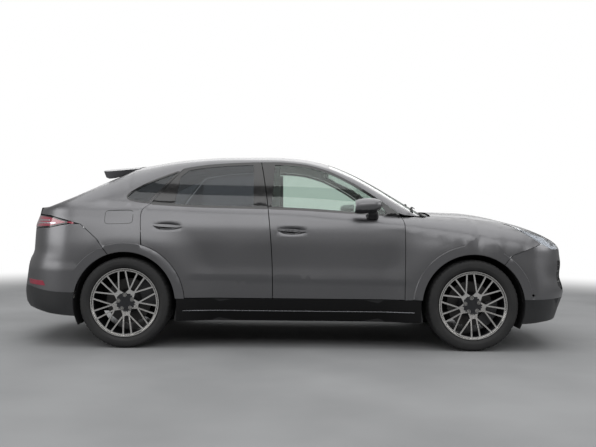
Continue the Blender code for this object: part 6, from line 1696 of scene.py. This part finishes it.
SEAT_Y, SEAT_HALF, BENCH_Y, BENCH_HALF = 0.385, 0.155, 0.40, 0.17
soft_seat("front_seat_left", "driver_seat", [SEAT_Y], SEAT_HALF, 0.011)
soft_seat("front_seat_right", "passenger_seat", [-SEAT_Y], SEAT_HALF, 0.011)
soft_seat("rear_bench", "rear_seat_bench", [-BENCH_Y, BENCH_Y], BENCH_HALF, 0.014)
lining, tree, shader, place = finish("pale_roof_lining", "8E8C88", 0.9, Sheen_Weight=0.2)
weave = add_node(tree, "ShaderNodeTexNoise", {"Scale": 900.0, "Detail": 1.0}, Vector=place)
grain(tree, shader, weave.outputs["Fac"], 0.0003, 0.5)
inner = [(x, 0.94 * y) for x, y in top_outline(0.05, 0.575, 0.0)]
LINING_THICK, LINING_SINK = 0.006, 0.034
panel("roof_lining", inner, roof_skin, (lining,), "shell", "dark_leather", LINING_THICK, inward=DOWN,
      sink=LINING_SINK, step=0.08)
print("seats and lining made")

# %% [markdown]
# ## Finishes of the solids that stay
# The floor, axles, engine block, dashboard, scuttle and exhaust have the right shape already, so
# they only get a better finish.

# %% Better finishes for the kept solids
castings, tree, shader, place = finish("cast_engine_block", "4A4A4B", 0.6, Metallic=0.6)
lumps = vary(tree, shader, place, 30.0, 0.5, 0.7)
grain(tree, shader, lumps.outputs["Fac"], 0.001, 0.5)
kept = {"floor_pan": under_black, "front_axle": under_black, "rear_axle": caliper_paint,
        "engine": castings, "exhaust": steel, "scuttle": black_plastic, "dashboard": black_plastic,
        "knuckle_left": caliper_paint, "knuckle_right": caliper_paint}
for name, surface in kept.items():
    item = nodes[name]
    if not item.data.materials:
        item.data.materials.append(surface)
    for k in range(len(item.material_slots)):
        item.material_slots[k].material = surface
print("finishes given to", len(kept), "solids")

# %% [markdown]
# ## Studio
# A pale floor and five soft lamps: a large one above, one along each side and one at each end. Floor
# and world turn white where the camera sees them, straight or through glass. For everything else,
# such as light and reflections, the world is dim, so that the lamps shape the paint.

# %% Floor
def straight_view(tree):
    """1 for what the camera sees, straight or through glass, and 0 for all other light."""
    path = add_node(tree, "ShaderNodeLightPath")
    seen = add_node(tree, "ShaderNodeMath", {"operation": "MAXIMUM"})
    tree.links.new(path.outputs["Is Camera Ray"], seen.inputs[0])
    tree.links.new(path.outputs["Is Transmission Ray"], seen.inputs[1])
    return seen.outputs[0]


FLOOR_SIZE, FADE_START, FADE_END = 60, 5.5, 10.0
bpy.ops.mesh.primitive_plane_add(size=FLOOR_SIZE, location=(0, 0, 0))
floor = bpy.context.object
floor.name = "studio_floor"
concrete, tree, shader, place = finish("pale_floor", "858687", 0.8, Specular_IOR_Level=0.2)
cloud = vary(tree, shader, place, 0.9, 0.7, 0.8)
tint(tree, shader, cloud.outputs["Fac"], "808182", "8B8C8D")
away = add_node(tree, "ShaderNodeVectorMath", {"operation": "LENGTH"})
tree.links.new(place, away.inputs[0])
fade = add_node(tree, "ShaderNodeMapRange", {"From Min": FADE_START, "From Max": FADE_END},
                Value=away.outputs["Value"])
fade.interpolation_type = "SMOOTHSTEP"
seen = straight_view(tree)
share = add_node(tree, "ShaderNodeMath", {"operation": "MULTIPLY"})
tree.links.new(fade.outputs["Result"], share.inputs[0])
tree.links.new(seen, share.inputs[1])
white = add_node(tree, "ShaderNodeEmission", {"Color": (1, 1, 1, 1), "Strength": 1.0})
blend = add_node(tree, "ShaderNodeMixShader", {}, Fac=share.outputs[0])
tree.links.new(shader.outputs["BSDF"], blend.inputs[1])
tree.links.new(white.outputs[0], blend.inputs[2])
tree.links.new(blend.outputs[0], tree.nodes["Material Output"].inputs["Surface"])
floor.data.materials.append(concrete)
print("floor made")


# %% Lamps and world
def lamp_at(name, place, aim, size, power):
    light = bpy.data.lights.new(name, "AREA")
    light.shape, light.size, light.size_y, light.energy = "RECTANGLE", size[0], size[1], power
    item = bpy.data.objects.new(name, light)
    bpy.context.scene.collection.objects.link(item)
    item.location = place
    item.rotation_euler = (Vector(aim) - Vector(place)).to_track_quat("-Z", "Y").to_euler()


lamp_at("top_softbox", (0.0, 0.0, 6.0), (0, 0, 0), (11.0, 8.0), 470)
lamp_at("right_softbox", (0.0, -7.5, 5.4), (0, 0, 0.9), (12.0, 4.5), 330)
lamp_at("left_softbox", (0.0, 7.5, 5.4), (0, 0, 0.9), (12.0, 4.5), 260)
lamp_at("front_softbox", (8.0, -2.0, 3.6), (1.5, 0, 0.8), (6.0, 4.0), 190)
lamp_at("rear_softbox", (-8.0, -3.0, 3.4), (-1.5, 0, 0.8), (6.0, 4.0), 210)
world = bpy.data.worlds.new("studio_world")
bpy.context.scene.world = world
world.use_nodes = True
tree = world.node_tree
tree.nodes.clear()
seen = straight_view(tree)
dim = add_node(tree, "ShaderNodeBackground", {"Color": (1, 1, 1, 1), "Strength": 0.24})
full = add_node(tree, "ShaderNodeBackground", {"Color": (1, 1, 1, 1), "Strength": 1.0})
joined = add_node(tree, "ShaderNodeMixShader", {}, Fac=seen)
tree.links.new(dim.outputs[0], joined.inputs[1])
tree.links.new(full.outputs[0], joined.inputs[2])
add_node(tree, "ShaderNodeOutputWorld", {}, Surface=joined.outputs[0])
print("lamps", len(bpy.data.lights))

# %% Camera
camera_data = bpy.data.cameras.new("camera")
camera = bpy.data.objects.new("camera", camera_data)
bpy.context.scene.collection.objects.link(camera)
# The photograph is 596 pixels wide, and its focal length came out as 726 of them.
SENSOR, FOCAL_PIXELS, PHOTO_PIXELS, ROLL_DEGREES = 36.0, 726, 596, 0.59
camera_data.sensor_width = SENSOR
camera_data.lens = SENSOR * FOCAL_PIXELS / PHOTO_PIXELS
camera.location = (0.034, -6.9915, 1.048)
upright, roll = Matrix.Rotation(math.radians(90), 3, "X"), Matrix.Rotation(math.radians(ROLL_DEGREES), 3, "Z")
camera.rotation_euler = (upright @ roll).to_euler()
bpy.context.scene.camera = camera
bpy.context.scene.view_settings.view_transform = "Standard"
print("camera at", tuple(camera.location))
